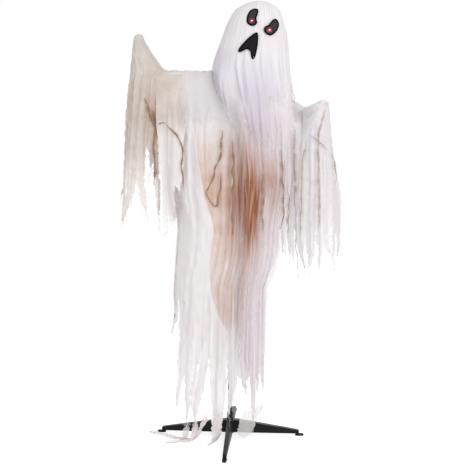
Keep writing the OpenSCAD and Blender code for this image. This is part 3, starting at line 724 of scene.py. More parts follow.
# Foam-backed vinyl face panels: soft black edge, charcoal middle in the eyes, nearly black in the mouth
FACE_EDGE = Solid("vinyl_welded_edge_black", "#030203", "#070607", grain_mm=0.6, roughness=0.5, bump_mm=0.05,
                  specular=0.05)
FACE_VINYL = Solid("vinyl_foam_charcoal", "#2E2C2E", "#383638", grain_mm=0.9, roughness=0.7, bump_mm=0.12,
                   specular=0.12)
MOUTH_VINYL = Solid("vinyl_foam_black", "#151416", "#1E1C1F", grain_mm=0.9, roughness=0.7, bump_mm=0.12,
                    specular=0.08)
# Clear red acrylic lens over a lit lamp, and the bright spot of the lamp in it
LENS_ACRYLIC = Solid("acrylic_red_lit", "#8E0F30", "#700A24", grain_mm=4.0, roughness=0.2, gloss_spread=0.05,
                     ior=1.49, bump_mm=0.02, coat=0.3, glow=0.45)
LENS_CORE = Solid("acrylic_red_lamp_core", "#FFC4D2", "#FF9DB4", grain_mm=4.0, roughness=0.2,
                  gloss_spread=0.05, ior=1.49, bump_mm=0.02, glow=1.3)


# Torn sheets

@dataclass(frozen=True)
class Hold:
    """The two bodies that a cloth bends between, and the points where the bend starts and ends."""

    bodies: tuple[str, str]
    start: Point
    end: Point


WAIST = Hold(("stand", "torso"), (0.0, 0.0, 1.20), (0.0629, 0.0, 1.433))
NECK = Hold(("torso", "head"), (0.045, 0.0, 1.515), (0.085, 0.0, 1.650))
ELBOW_LEFT = Hold(("torso", "arm_left"), (-0.276, 0.0, 1.470), (-0.276, 0.0, 1.570))
ELBOW_RIGHT = Hold(("torso", "arm_right"), (0.335, -0.020, 1.180), (0.357, -0.120, 1.385))


@dataclass(frozen=True)
class Strip:
    """One strip of a sheet: its borders across, where each border's slit starts, and where it ends."""

    left: float
    right: float
    slit_left: float
    slit_right: float
    end: float
    taper: float
    sway: float
    lift: float
    twist: float
    tip: float


@dataclass(frozen=True)
class TearPlan:
    """How a sheet is torn: the strips' borders across, and the slits' starts and strips' ends down."""

    seed: int
    borders: tuple[float, ...]
    slits: tuple[float, ...]
    ends: tuple[float, ...]
    taper: tuple[float, float]
    sway: float
    twist: float
    sways: tuple[float, ...] = ()

    def strips(self) -> list[Strip]:
        """Draws the strips.

        Returns:
            Strips from left to right.
        """
        rng = np.random.default_rng(self.seed)
        # The first draws belong to the slits, whose places are given
        rng.random(len(self.slits))
        made = []
        for k, end in enumerate(self.ends):
            slit = self.slits[k:k + 2]
            low = min(max(slit), end - 0.05)
            sway = rng.uniform(-1, 1) * self.sway
            if self.sways:
                sway = self.sways[k]
            made.append(Strip(self.borders[k], self.borders[k + 1], min(slit[0], low), min(slit[1], low), end,
                              rng.uniform(*self.taper), sway, rng.uniform(-1, 1) * self.sway,
                              rng.uniform(-1, 1) * self.twist, rng.uniform(0.2, 0.48)))
        return made


@dataclass
class Garment:
    """One hanging cloth: a surface over shares across and down, torn into strips below."""

    name: str
    node: str
    finish: Gauze
    tear: TearPlan
    across: int
    down: int
    span: tuple[float, float]
    hold: Hold
    flat: tuple[float, float]
    held: str
    rests_on: tuple[str, ...]
    slot: str
    threads: int
    fray: float = 0.004
    area: float | None = None
    row_power: float = 1.0
    gap: float = 0.003
    tip_share: float = 0.13
    past_hem: float = 1.12
    least_width: float = 0.06
    thread_half: float = 0.0006
    thread_length: tuple[float, float] = (0.012, 0.055)

    def surface(self, s: Array, q: Array) -> Array:
        """Places points of the whole cloth.

        Args:
            s: Share of the way across.
            q: Share of the way down.

        Returns:
            Points in metres, one more axis than s.
        """
        raise NotImplementedError

    def mask(self, points: Array, s: Array, q: Array) -> Array:
        """Gives dye, tan, lilac and cover at each point.

        Args:
            points: Points in metres.
            s: Share of the way across.
            q: Share of the way down.

        Returns:
            Four numbers from 0 to 1 for each point.
        """
        raise NotImplementedError

    def strip_shares(self, strip: Strip, rng: np.random.Generator) -> tuple[Array, Array, Array]:
        """Lays out one strip in shares of the sheet.

        Args:
            strip: The strip.
            rng: Seeded generator for its ragged edges.

        Returns:
            Shares across and down as grids, and how free each row hangs from 0 to 1.
        """
        rows = np.linspace(0, self.past_hem, int(self.down * self.past_hem) + 1) ** self.row_power
        q = np.append(rows[rows < strip.end - 0.6 / self.down], strip.end)
        width = strip.right - strip.left
        cols = max(4, int(round(width * self.across)) + 1)
        free = [np.clip((q - slit) / (strip.end - slit), 0, 1)
                for slit in (strip.slit_left, strip.slit_right)]
        point = np.clip((q - strip.end + self.tip_share) / self.tip_share, 0, 1) ** 1.7 * strip.tip
        metre = max(self.span[0], 0.05)
        fray = min(self.fray / metre, 0.16 * width)
        ragged = [Ripple(rng, 7, 60, 8)(q) * fray * np.minimum(1, 8 * f) for f in free]
        gap = [self.gap / metre * np.minimum(1, 6 * f) for f in free]
        drawn_in = [width * (strip.taper * f ** 0.8 + point * np.minimum(1, 4 * f)) for f in free]
        left = strip.left + drawn_in[0] + ragged[0] + gap[0]
        right = strip.right - drawn_in[1] - ragged[1] - gap[1]
        cross = left > right - self.least_width * width
        middle = (left + right) / 2
        left = np.where(cross, middle - self.least_width / 2 * width, left)
        right = np.where(cross, middle + self.least_width / 2 * width, right)
        s = left[:, None] + (right - left)[:, None] * np.linspace(0, 1, cols)[None, :]
        s[:, -1] = right
        down = np.repeat(q[:, None], cols, axis=1)
        down[-1] += rng.uniform(0, 0.012, cols)
        return s, down, np.minimum(*free)

    def strip_grid(self, strip: Strip, rng: np.random.Generator) -> tuple[Array, Array, Array]:
        """Builds the points of one strip, which twists and sways where it hangs free.

        Args:
            strip: The strip.
            rng: Seeded generator for its ragged edges.

        Returns:
            Shares across, shares down and points, as grids.
        """
        s, down, free = self.strip_shares(strip, rng)
        q = np.append(down[:-1, 0], strip.end)
        points = self.surface(s, down)
        run = points[:, -1] - points[:, 0]
        run[:, 2] = 0
        run /= np.maximum(np.linalg.norm(run, axis=1), 1e-6)[:, None]
        out = np.stack([run[:, 1], -run[:, 0], np.zeros(len(run))], axis=1)
        run, out = run[:, None], out[:, None]
        centre = points.mean(axis=1, keepdims=True)
        rel = points - centre
        along = (rel * run).sum(-1)
        depth = (rel * out).sum(-1)
        turn = (strip.twist * free ** 1.4)[:, None]
        push = strip.sway * free ** 1.5 + 0.25 * abs(strip.sway) * free * Ripple(rng, 1.5, 6, 4)(q)
        pull = strip.lift * free ** 1.5 + 0.006 * free * Ripple(rng, 3, 9, 4)(q)
        keep = rel - along[..., None] * run - depth[..., None] * out
        aside = along * np.cos(turn) - depth * np.sin(turn) + push[:, None]
        forward = along * np.sin(turn) + depth * np.cos(turn) + pull[:, None]
        points = centre + keep + aside[..., None] * run + forward[..., None] * out
        points[..., 2] = np.maximum(points[..., 2], SHEET_FLOOR)
        return s, down, points

    def holes(self) -> Sequence[Hole]:
        """Lists worn holes as place across, place down and the two half sizes."""
        return ()

    def sheet_mesh(self) -> bpy.types.Object:
        """Joins the strips into one mesh, without the faces in the holes.

        Returns:
            The object with its flat map, mask and finish.
        """
        rng = np.random.default_rng(self.tear.seed + 1000)
        points, masks, flats, quads = [], [], [], []
        base = 0
        for strip in self.tear.strips():
            s, q, p = self.strip_grid(strip, rng)
            quad = np.array(grid_faces(*s.shape, base)).reshape(s.shape[0] - 1, s.shape[1] - 1, 4)
            mid_s = (s[:-1, :-1] + s[1:, 1:]) / 2
            mid_q = (q[:-1, :-1] + q[1:, 1:]) / 2
            keep = np.ones(mid_s.shape, bool)
            wave = 1 + 0.3 * np.sin(40 * mid_q + 60 * mid_s)
            for hole_s, hole_q, half_s, half_q in self.holes():
                keep &= ((mid_s - hole_s) / half_s) ** 2 + ((mid_q - hole_q) / half_q) ** 2 > wave
            points.append(p.reshape(-1, 3))
            masks.append(self.mask(p, s, q).reshape(-1, 4))
            flats.append(np.stack([s * self.span[0], q * self.span[1]], axis=-1).reshape(-1, 2))
            quads.append(quad[keep])
            base += s.size
        co = np.concatenate(points)
        # Points that two strips share above their slit become one
        _, first, back = np.unique(np.round(co, 6), axis=0, return_index=True, return_inverse=True)
        rings = [list(dict.fromkeys(quad)) for quad in back.reshape(-1)[np.concatenate(quads)].tolist()]
        faces = [ring for ring in rings if len(ring) > 2]
        used = np.unique([v for f in faces for v in f])
        renum = np.full(len(first), -1)
        renum[used] = np.arange(len(used))
        pick = first[used]
        obj = new_object(self.name, co[pick], [[int(renum[v]) for v in f] for f in faces])
        set_flat_map(obj, np.concatenate(flats)[pick])
        set_mask(obj, np.clip(np.concatenate(masks)[pick], 0, 1))
        obj.data.materials.append(self.finish.material())
        return obj

    def build(self) -> bpy.types.Object:
        """Makes the cloth with its loose threads.

        Returns:
            The sheet object.
        """
        obj = self.sheet_mesh()
        fringe = self.loose_threads(obj)
        for piece in (obj, fringe):
            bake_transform(piece)
        if self.node:
            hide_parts(self.node)
        LOG.info("%s: %d faces, %d loose threads", self.name, len(obj.data.polygons), self.threads)
        return obj

    def loose_threads(self, obj: bpy.types.Object) -> bpy.types.Object:
        """Pulls single threads out of the torn edges.

        Args:
            obj: The finished sheet.

        Returns:
            One mesh with every loose thread as a narrow ribbon.
        """
        mesh = obj.data
        rng = np.random.default_rng(self.tear.seed + 2000)
        count: dict[tuple[int, int], int] = {}
        for poly in mesh.polygons:
            for key in poly.edge_keys:
                count[key] = count.get(key, 0) + 1
        edge = np.array([k for k, n in count.items() if n == 1])
        co = mesh_points(mesh)
        colour = np.zeros(len(mesh.vertices) * 4, np.float32)
        mesh.color_attributes["cloth_mask"].data.foreach_get("color", colour)
        colour = colour.reshape(-1, 4)
        steps = 7
        t = np.linspace(0, 1, steps)
        points, masks, flats, faces = [], [], [], []
        for n, (a, b) in enumerate(edge[rng.integers(0, len(edge), self.threads)]):
            start = (co[a] + co[b]) / 2
            length = rng.uniform(*self.thread_length)
            yaw = rng.uniform(0, TURN)
            spread = np.array([np.cos(yaw), 0.6 * np.sin(yaw), 0]) * rng.uniform(0.1, 0.5) * length
            curl = np.array([np.sin(yaw), np.cos(yaw), 0]) * rng.uniform(-0.15, 0.15) * length
            path = start + t[:, None] * spread + np.sin(3.0 * np.pi * t)[:, None] * curl
            path[:, 2] -= length * t ** 1.3
            path[:, 2] = np.maximum(path[:, 2], THREAD_FLOOR)
            flat_way = np.array([np.cos(yaw + 1.2), np.sin(yaw + 1.2), 0])
            half = (self.thread_half * (1 - 0.5 * t))[:, None] * flat_way
            points.append(np.stack([path - half, path + half], axis=1).reshape(-1, 3))
            shade = colour[a].copy()
            shade[3] = 0.9
            masks.append(np.repeat(shade[None], 2 * steps, axis=0))
            flats.append(np.stack([np.tile([0, 0.001], steps), np.repeat(t * length, 2)], axis=1))
            faces += grid_faces(steps, 2, n * 2 * steps)
        fringe = new_object(self.name + "_threads", np.concatenate(points), faces)
        set_flat_map(fringe, np.concatenate(flats))
        set_mask(fringe, np.concatenate(masks))
        fringe.data.materials.append(mesh.materials[0])
        return fringe


# Airbrushed spots: amount, place across and up, spread across and up, in metres
STAIN_SPOTS = ((1.00, 0.078, 0.985, 0.026, 0.120), (0.44, 0.168, 1.075, 0.024, 0.065),
               (0.36, 0.060, 1.050, 0.075, 0.120), (0.40, 0.012, 1.060, 0.012, 0.150),
               (0.34, 0.045, 0.790, 0.030, 0.140), (0.34, -0.008, 0.565, 0.030, 0.080),
               (0.18, 0.060, 1.215, 0.030, 0.060))


def stain(points: Array) -> Array:
    """Gives the airbrushed brown patch in the middle of the front.

    Args:
        points: Points in metres.

    Returns:
        Dye from 0 to 1 at each point.
    """
    x, z = points[..., 0], points[..., 2]
    dye = np.zeros(x.shape)
    for amount, at_x, at_z, wide, high in STAIN_SPOTS:
        dye += amount * np.exp(-0.5 * ((x - at_x) / wide) ** 2 - 0.5 * ((z - at_z) / high) ** 2)
    return np.clip(dye, 0, 1)


@dataclass
class Hood(Garment):
    """White hood pulled over the head dome and hanging below it in long streaked folds.

    The form's rows are height, left, right, front and rear in millimetres. The hem's rows are degrees round
    and height, and the creases' are degrees round, drift and rise.
    """

    top: float = 1828.0
    fold_mm: float = 10.5
    crush_mm: float = 1.5
    crease_width: float = 2.6
    form: tuple[tuple[float, ...], ...] = (
        (1828, 117, 117, 0, 0), (1817, 66, 168, -49, 49), (1788, 18, 207, -86, 88),
        (1757, -1, 219, -106, 107), (1720, -19, 230, -114.5, 115), (1688, -30, 237, -114.5, 116),
        (1640, -49, 242, -111.5, 116), (1591, -66, 246, -110.8, 116), (1546, -74, 250, -111.5, 118),
        (1494, -66, 255, -116, 122), (1394, -44, 266, -125, 128), (1290, -20, 266, -142, 133),
        (1100, 0, 258, -158, 136))
    hem: tuple[tuple[float, float], ...] = (
        (0, 1420), (14, 1410), (32, 1330), (60, 1250), (90, 1230), (120, 1260), (148, 1420), (164, 1542),
        (180, 1553), (188, 1530), (196, 1455), (205, 1410), (214, 1380), (232, 1310), (250, 1230),
        (270, 1180), (300, 1190), (328, 1290), (346, 1410), (360, 1420))
    creases: tuple[Point, ...] = ((246, 6, 8), (259, 3, 5), (284, 2, 7), (297, -2, 4), (312, -4, 6))

    def __post_init__(self) -> None:
        """Prepares the curves of the form."""
        self.sides = curves(self.form, [math.sqrt(self.top - row[0]) for row in self.form])
        self.folds = FoldField(np.random.default_rng(31), (9, 14, 19, 26, 33, 41, 53), 0.006)
        self.crumple = Crumple(np.random.default_rng(33), self.span, 35, 90)

    def surface(self, s: Array, q: Array) -> Array:
        """Places points of the hood.

        Args:
            s: Share of the way round, from the right by the back.
            q: Share of the way down from the crown.

        Returns:
            Points in metres.
        """
        degree = 360 * (s % 1.0)
        z = self.top - (self.top - np.interp(degree, *zip(*self.hem))) * q
        loose = smoothstep(-z, -1610, -1400) * (0.55 + 0.45 * smoothstep(-z, -1450, -1250))
        out = self.fold_mm * loose * self.folds(s, q) + self.crush_mm * loose * self.crumple(s, q)
        for at, drift, rise in self.creases:
            away = (degree - at - drift * q) / self.crease_width
            out = out + rise * smoothstep(-z, -1660, -1560) * np.exp(-away ** 2)
        cos, sin = np.cos(np.radians(degree)), np.sin(np.radians(degree))
        # The hood stands off squarely over the shoulder at the left front
        corner = smoothstep(-sin, 0.0, 0.12) * smoothstep(-cos, 0.45, 0.75)
        boxy = 1 - 0.42 * smoothstep(-z, -1590, -1490) * corner
        x, y = oval(self.sides, self.top - z, out, *(np.sign(v) * np.abs(v) ** boxy for v in (cos, sin)))
        return np.stack([x, y, z], axis=-1) * MM

    def mask(self, points: Array, s: Array, q: Array) -> Array:
        """Colours the hood: lilac in the hanging part, painted grey shade on its lower left, brown coming
        through low in front.

        Args:
            points: Points in metres.
            s: Share of the way round.
            q: Share of the way down.

        Returns:
            Dye, tan, lilac and cover of each point.
        """
        x, y, z = points[..., 0], points[..., 1], points[..., 2]
        lilac = 0.70 * smoothstep(-z, -1.66, -1.45) * bell(x, 0.10, 0.08)
        # Painted shade: grey-lilac over the hood's lower left, the side away from the light
        lilac = lilac + 0.55 * smoothstep(-x, -0.02, 0.05) * smoothstep(-z, -1.72, -1.58)
        dye = 0.7 * stain(points) * (y < 0.05)
        tan = 0.08 * smoothstep(-z, -1.6, -1.3)
        before = smoothstep(-np.sin(TURN * s), -0.1, 0.35)
        thin = (0.18 + 0.52 * before) * smoothstep(q, 0.70, 1.0) * smoothstep(-z, -1.57, -1.50)
        shoulder = bell(360 * s, 196, 12) * smoothstep(-z, -1.552, -1.512)
        cover = (0.99 - 0.10 * smoothstep(-z, -1.52, -1.40) - thin) * (1 - 0.60 * shoulder)
        return np.stack([dye, tan, lilac, cover], axis=-1)


class Side(Enum):
    """Face of the robe that a panel covers."""

    FRONT = -1
    BACK = 1


@dataclass
class RobePanel(Garment):
    """Front or back panel of the robe, hung over the arms.

    The form's rows are height, left and right edge, and the depths' rows are drop and depth, all in
    millimetres. The opening's rows are height and place of the overlap's edge in metres.
    """

    side: Side = Side.FRONT
    ridge: float = 1545.0
    slope: float = math.tan(math.radians(30))
    slope_from: float = 49.0
    x_left: float = -256.0
    x_right: float = 312.0
    hem_z: float = 90.0
    side_mm: float = 43.0
    inset_mm: float = 0.0
    turn_share: float = 0.06
    fold_mm: float = 11.0
    crush_mm: float = 2.2
    lap_mm: float = 5.0
    cape_mm: float = 4.0
    form: tuple[Point, ...] = (
        (1545, -256, 312), (1400, -256, 310), (1345, -258, 288), (1280, -258, 262), (1094, -256, 244),
        (960, -234, 222), (900, -226, 213), (800, -233, 208), (700, -240, 176), (654, -243, 158),
        (500, -247, 154), (376, -252, 152), (250, -258, 150), (60, -264, 148))
    front_depth: tuple[tuple[float, float], ...] = (
        (0, 0), (4, 9), (12, 16), (30, 24), (60, 35), (110, 51), (170, 77), (270, 97), (500, 107), (900, 107),
        (1500, 103))
    back_depth: tuple[tuple[float, float], ...] = (
        (0, 0), (4, 9), (12, 17), (30, 27), (60, 42), (110, 62), (170, 90), (270, 111), (500, 120),
        (900, 116), (1500, 108))
    opening: tuple[tuple[float, float], ...] = (
        (1.36, -0.165), (1.297, -0.148), (1.176, -0.132), (1.075, -0.112), (0.99, -0.094), (0.93, -0.072),
        (0.89, -0.066), (0.80, -0.078), (0.70, -0.082), (0.62, -0.074), (0.56, -0.055), (0.49, -0.025),
        (0.45, 0.0), (0.40, 0.02))

    def __post_init__(self) -> None:
        """Prepares the curves of the panel."""
        depth = self.front_depth if self.side is Side.FRONT else self.back_depth
        self.depth = curves(depth, [math.sqrt(row[0]) for row in depth])[0]
        self.edges = curves(self.form)
        self.part = curves(self.opening)[0]
        seed = 47 if self.side is Side.FRONT else 59
        self.folds = FoldField(np.random.default_rng(seed), (3, 5, 7, 10, 14, 19), 0.016)
        self.crumple = Crumple(np.random.default_rng(seed + 1), self.span, 30, 110, 24)
        self.rough_top = Ripple(np.random.default_rng(seed + 2), 8, 30)

    def holes(self) -> Sequence[Hole]:
        """Lists the worn holes of this panel."""
        return (0.30, 0.842, 0.006, 0.012), (0.135, 0.675, 0.008, 0.022)

    def cape_edge(self, x: Array) -> Array:
        """Gives the height in metres where the cape over the shoulders ends, at each x in metres."""
        wave = 0.005 * np.sin(70 * x) + 0.003 * np.sin(190 * x + 1)
        return 1.333 + wave + 0.012 * smoothstep(x, -0.10, 0.0)

    def ridge_at(self, across: Array) -> Array:
        """Gives the height of the cloth on the arms.

        Args:
            across: Places across in millimetres.

        Returns:
            Height in millimetres at each place.
        """
        rough = self.rough_top(across * MM)
        level = self.ridge - np.maximum(across - self.slope_from, 0) * self.slope
        return level + 2.5 * rough + 2.0 * np.maximum(rough, 0)

    def bulge(self, s: Array, drop: Array) -> Array:
        """Gives the panel's distance from the middle plane without its folds.

        Args:
            s: Share of the way across, which may run past the edges.
            drop: Distance below the ridge in millimetres.

        Returns:
            Depth in millimetres.
        """
        deep = self.depth(np.sqrt(drop))
        edge = np.minimum(deep, 19 + (self.side_mm - 19) * smoothstep(drop, 50, 240))
        return edge + (deep - edge) * self.belly(np.clip(s, 0, 1))

    @staticmethod
    def belly(s: Array) -> Array:
        """Gives how far a panel bulges at each share across: 0 at both edges and 1 in the middle."""
        return np.sqrt(np.maximum(1 - np.abs(2 * s - 1) ** 2.4, 0))

    def surface(self, s: Array, q: Array) -> Array:
        """Places points of the panel.

        Args:
            s: Share of the way from the left arm to the right arm.
            q: Share of the way down from the ridge.

        Returns:
            Points in metres.
        """
        top = self.ridge_at(self.x_left + (self.x_right - self.x_left) * s)
        z = top - (top - self.hem_z) * q
        drop = np.maximum(top - z, 0)
        left, right = (edge(z) for edge in self.edges)
        inset = self.inset_mm * smoothstep(drop, 50, 240)
        # The cloth turns round the side evenly, so its torn edge there stays fine
        near = np.clip(np.minimum(s, 1 - s) / self.turn_share, 0, 1)
        share = s - self.turn_share * (near - 2 * near ** 2 + near ** 3) * np.sign(0.5 - s)
        x = left + inset + (right - left - 2 * inset) * share
        outside = self.part(z * MM) - x * MM
        plain = 1 - 0.60 * smoothstep(outside, 0.0, 0.008) * smoothstep(z, 440, 700)
        hung = self.fold_mm * smoothstep(drop, 60, 380) * (0.35 + 0.65 * self.belly(s))
        fold = hung * self.folds(s, q) * plain
        crush = self.crush_mm * smoothstep(drop, 12, 80) * self.crumple(s, q)
        y = self.bulge(share, drop) + fold + crush
        if self.side is Side.FRONT:
            y = y + self.lap_mm * smoothstep(outside, -0.002, 0.002) * smoothstep(z, 440, 560) * (z < 1350)
            above = z * MM - self.cape_edge(x * MM)
            y = y + self.cape_mm * smoothstep(above, -0.003, 0.003) * smoothstep(-x, -60, 0)
        return np.stack([x, self.side.value * y, z], axis=-1) * MM

    def mask(self, points: Array, s: Array, q: Array) -> Array:
        """Colours the robe: brown in the middle, tea stains inside the opening and painted grey shade on the
        shoulder cape.

        Args:
            points: Points in metres.
            s: Share of the way across. Not used.
            q: Share of the way down. Not used.

        Returns:
            Dye, tan, lilac and cover of each point.
        """
        x, z = points[..., 0], points[..., 2]
        cape = smoothstep(z - self.cape_edge(x), -0.006, 0.006)
        inner = smoothstep(x - self.part(z), -0.002, 0.003) * (1 - cape)
        dye = stain(points) * np.maximum(inner, smoothstep(-z, -0.50, -0.42))
        low = smoothstep(z, 0.46, 0.58) * smoothstep(-z, -0.98, -0.86)
        tan = (0.70 * inner * bell(z, 1.05, 0.13) * smoothstep(-x, -0.10, 0.02)
               + 0.34 * inner * low * smoothstep(-x, -0.05, 0.0)
               + 0.10 * smoothstep(-x, 0.13, 0.22) * smoothstep(z, 1.26, 1.36) + 0.05)
        if self.side is Side.BACK:
            dye = dye * 0.25
            tan = tan * 0.6
        cover = 0.95 - 0.07 * smoothstep(-z, -0.65, -0.25) - 0.05 * inner
        # Lilac low at the right is the cloth's tint; grey on the shoulder cape is painted shade, matching the
        # hood's shaded left
        lilac = (0.12 * smoothstep(x, -0.02, 0.1) * smoothstep(-z, -0.8, -0.5)
                 + 0.55 * cape * smoothstep(x, -0.24, -0.14))
        return np.stack([dye, tan, lilac, cover], axis=-1)


@dataclass
class ArmDrape(RobePanel):
    """Short torn drape over one upper arm, outside the robe, with its own places across at top and foot."""

    reach: tuple[float, float] = (-304.0, -184.0)
    foot: tuple[float, float] = (-300.0, -184.0)
    tea: float = 0.60
    clear_mm: float = 13.0
    sweep_mm: float = 0.0
    settle: float = 0.6
    fold_mm: float = 4.5
    crush_mm: float = 2.0

    def holes(self) -> Sequence[Hole]:
        """Lists no worn holes."""
        return ()

    def surface(self, s: Array, q: Array) -> Array:
        """Places points of the drape.

        Args:
            s: Share of the way from its left edge to its right.
            q: Share of the way down from the arm.

        Returns:
            Points in metres.
        """
        across = self.reach[0] + (self.reach[1] - self.reach[0]) * s
        top = self.ridge_at(across) + 2.5
        z = top - (top - self.hem_z) * q
        drop = np.maximum(top - z, 0)
        ease = smoothstep(q, 0.05, self.settle)
        x = across + (self.foot[0] + (self.foot[1] - self.foot[0]) * s - across) * ease
        x = x + 4.0 * s * np.sin(z / 29) * smoothstep(drop, 30, 90)
        left, right = (edge(z) for edge in self.edges)
        share = (x - left) / (right - left)
        past = smoothstep(np.maximum(share - 1, 0), 0.0, 0.08)
        gap = self.clear_mm * smoothstep(drop, 2, 50) * (1 - past) - 5 * past * smoothstep(drop, 10, 60)
        fold = self.fold_mm * smoothstep(drop, 60, 300) * self.folds(s * 0.4, q) * (1 - 0.6 * past)
        crush = self.crush_mm * smoothstep(drop, 12, 80) * self.crumple(s * 0.4, q)
        y = self.bulge(share, drop) + gap
        if self.sweep_mm:
            # The bent forearm holds this face forward
            y = self.depth(np.sqrt(np.minimum(drop, 12))) + self.sweep_mm * smoothstep(drop, 4, 110)
            y = y + 24 * smoothstep(x, 238, 285) * smoothstep(drop, 40, 160)
        y = y + np.maximum(fold, -2.5) + crush
        return np.stack([x, self.side.value * y, z], axis=-1) * MM

    def mask(self, points: Array, s: Array, q: Array) -> Array:
        """Colours the drape: tea stains over the arm that pale below it.

        Args:
            points: Points in metres.
            s: Share of the way across.
            q: Share of the way down.

        Returns:
            Dye, tan, lilac and cover of each point.
        """
        z = points[..., 2]
        inner = s if self.reach[0] < 0 else 1 - s
        tan = self.tea * (1 - 0.90 * smoothstep(-z, -1.36, -1.28)) * (1 - 0.6 * smoothstep(inner, 0.5, 1.0))
        fade = smoothstep(inner, 0.62, 1.0) * smoothstep(z, 1.25, 1.35)
        cover = 0.94 - 0.07 * smoothstep(q, 0.5, 1.0) - 0.85 * fade
        return np.stack([0 * z, tan, 0 * z, cover], axis=-1)


@dataclass
class Veil(Garment):
    """Long sheer veil that hangs from under the hood down the front, right of the middle.

    The form's rows are height, left, right and depth in millimetres.
    """

    top: float = 1470.0
    hem_z: float = 40.0
    fold_mm: float = 8.0
    crush_mm: float = 1.8
    form: tuple[tuple[float, ...], ...] = (
        (1470, 10, 236, -104), (1394, 22, 250, -113), (1290, 34, 256, -126), (1180, 46, 252, -138),
        (1094, 52, 249, -146), (900, 47, 214, -142), (800, 44, 208, -138), (700, 40, 178, -135),
        (654, 38, 160, -134), (376, 34, 154, -130), (40, 28, 150, -128))

    def __post_init__(self) -> None:
        """Prepares the curves of the veil."""
        self.lines = curves(self.form)
        self.folds = FoldField(np.random.default_rng(71), (3, 5, 7, 9, 12, 16), 0.02)
        self.crumple = Crumple(np.random.default_rng(73), self.span, 25, 90, 20)

    def surface(self, s: Array, q: Array) -> Array:
        """Places points of the veil.

        Args:
            s: Share of the way from left to right.
            q: Share of the way down.

        Returns:
            Points in metres.
        """
        z = self.top - (self.top - self.hem_z) * q
        left, right, depth = (line(z) for line in self.lines)
        x = left + (right - left) * s
        hung = smoothstep(-z, -1420, -1200)
        rise = self.fold_mm * self.folds(s, q) + self.crush_mm * self.crumple(s, q)
        y = depth + hung * rise - 5 * (1 - (2 * s - 1) ** 2)
        return np.stack([x, y, z], axis=-1) * MM

    def mask(self, points: Array, s: Array, q: Array) -> Array:
        """Colours the veil: the brown patch shows through, lilac below and above it.

        Args:
            points: Points in metres.
            s: Share of the way across.
            q: Share of the way down. Not used.

        Returns:
            Dye, tan, lilac and cover of each point.
        """
        z = points[..., 2]
        dye = 0.95 * stain(points)
        lilac = (0.25 + 0.30 * smoothstep(-z, -0.8, -0.5)) * (1 - 0.8 * dye)
        side = np.minimum(s, 1 - s)
        cover = 0.80 - 0.55 * smoothstep(-side, -0.16, 0.0) - 0.08 * smoothstep(-z, -0.4, -0.15)
        return np.stack([dye, 0.02 + 0.6 * dye, lilac, cover * smoothstep(-z, -1.47, -1.37)], axis=-1)


@dataclass
class Sleeve(Garment):
    """Wide torn sleeve that hangs from a raised forearm, closed over the hand and open toward the body.

    The form's rows are height, left, right, front and rear in millimetres.
    """

    top: float = 1696.0
    turn: tuple[float, float] = (28.0, 332.0)
    form: tuple[tuple[float, ...], ...] = ()
    hem_z: float = 930.0
    tea: float = 0.54
    weight: float = 0.94
    fold_mm: float = 8.0
    crush_mm: float = 2.2
    pinch: float = 0.0
    grey: float = 0.05
    opens: tuple[float, float] = (20.0, 90.0)
    torn: tuple[Hole, ...] = ()

    def __post_init__(self) -> None:
        """Prepares the curves of the sleeve."""
        self.sides = curves(self.form, [math.sqrt(self.top - row[0]) for row in self.form])
        self.folds = FoldField(np.random.default_rng(self.tear.seed + 7), (4, 6, 9, 13, 18, 24), 0.012)
        self.crumple = Crumple(np.random.default_rng(self.tear.seed + 8), self.span, 18, 60, 24)

    def holes(self) -> Sequence[Hole]:
        """Lists the worn holes of this sleeve."""
        return self.torn

    def surface(self, s: Array, q: Array) -> Array:
        """Places points of the sleeve.

        Args:
            s: Share of the way round it.
            q: Share of the way down from the hand.

        Returns:
            Points in metres.
        """
        z = self.top - (self.top - self.hem_z) * q
        fall = self.top - z
        reach = 360 + (self.turn[1] - self.turn[0] - 360) * smoothstep(fall, *self.opens)
        angle = np.radians((self.turn[0] + self.turn[1]) / 2 + (s - 0.5) * reach)
        out = (self.fold_mm * smoothstep(fall, 30, 260) * self.folds(s, q)
               + self.crush_mm * smoothstep(fall, 8, 60) * self.crumple(s, q))
        power = 1 + self.pinch * smoothstep(fall, 70, 220)
        cos, sin = (np.sign(v) * np.abs(v) ** power for v in (np.cos(angle), np.sin(angle)))
        return np.stack([*oval(self.sides, fall, out, cos, sin), z], axis=-1) * MM

    def mask(self, points: Array, s: Array, q: Array) -> Array:
        """Colours the sleeve: tea stains strongest below the arm, thinner cloth toward the hem.

        Args:
            points: Points in metres.
            s: Share of the way round. Not used.
            q: Share of the way down. Not used.

        Returns:
            Dye, tan, lilac and cover of each point.
        """
        x, z = points[..., 0], points[..., 2]
        fall = self.top * MM - z
        tan = self.tea * (0.70 + 0.40 * bell(fall, 0.30, 0.14) - 0.3 * smoothstep(fall, 0.42, 0.65))
        dye = 0.75 * self.tea * bell(fall, 0.34, 0.07) * bell(x, -0.315, 0.022)
        cover = self.weight - 0.07 * smoothstep(fall, 0.25, 0.7)
        return np.stack([dye, tan, self.grey + 0 * z, cover], axis=-1)


# Twisted strands and trailing strips

StrandPath = tuple[float, tuple[tuple[float, float], ...]]


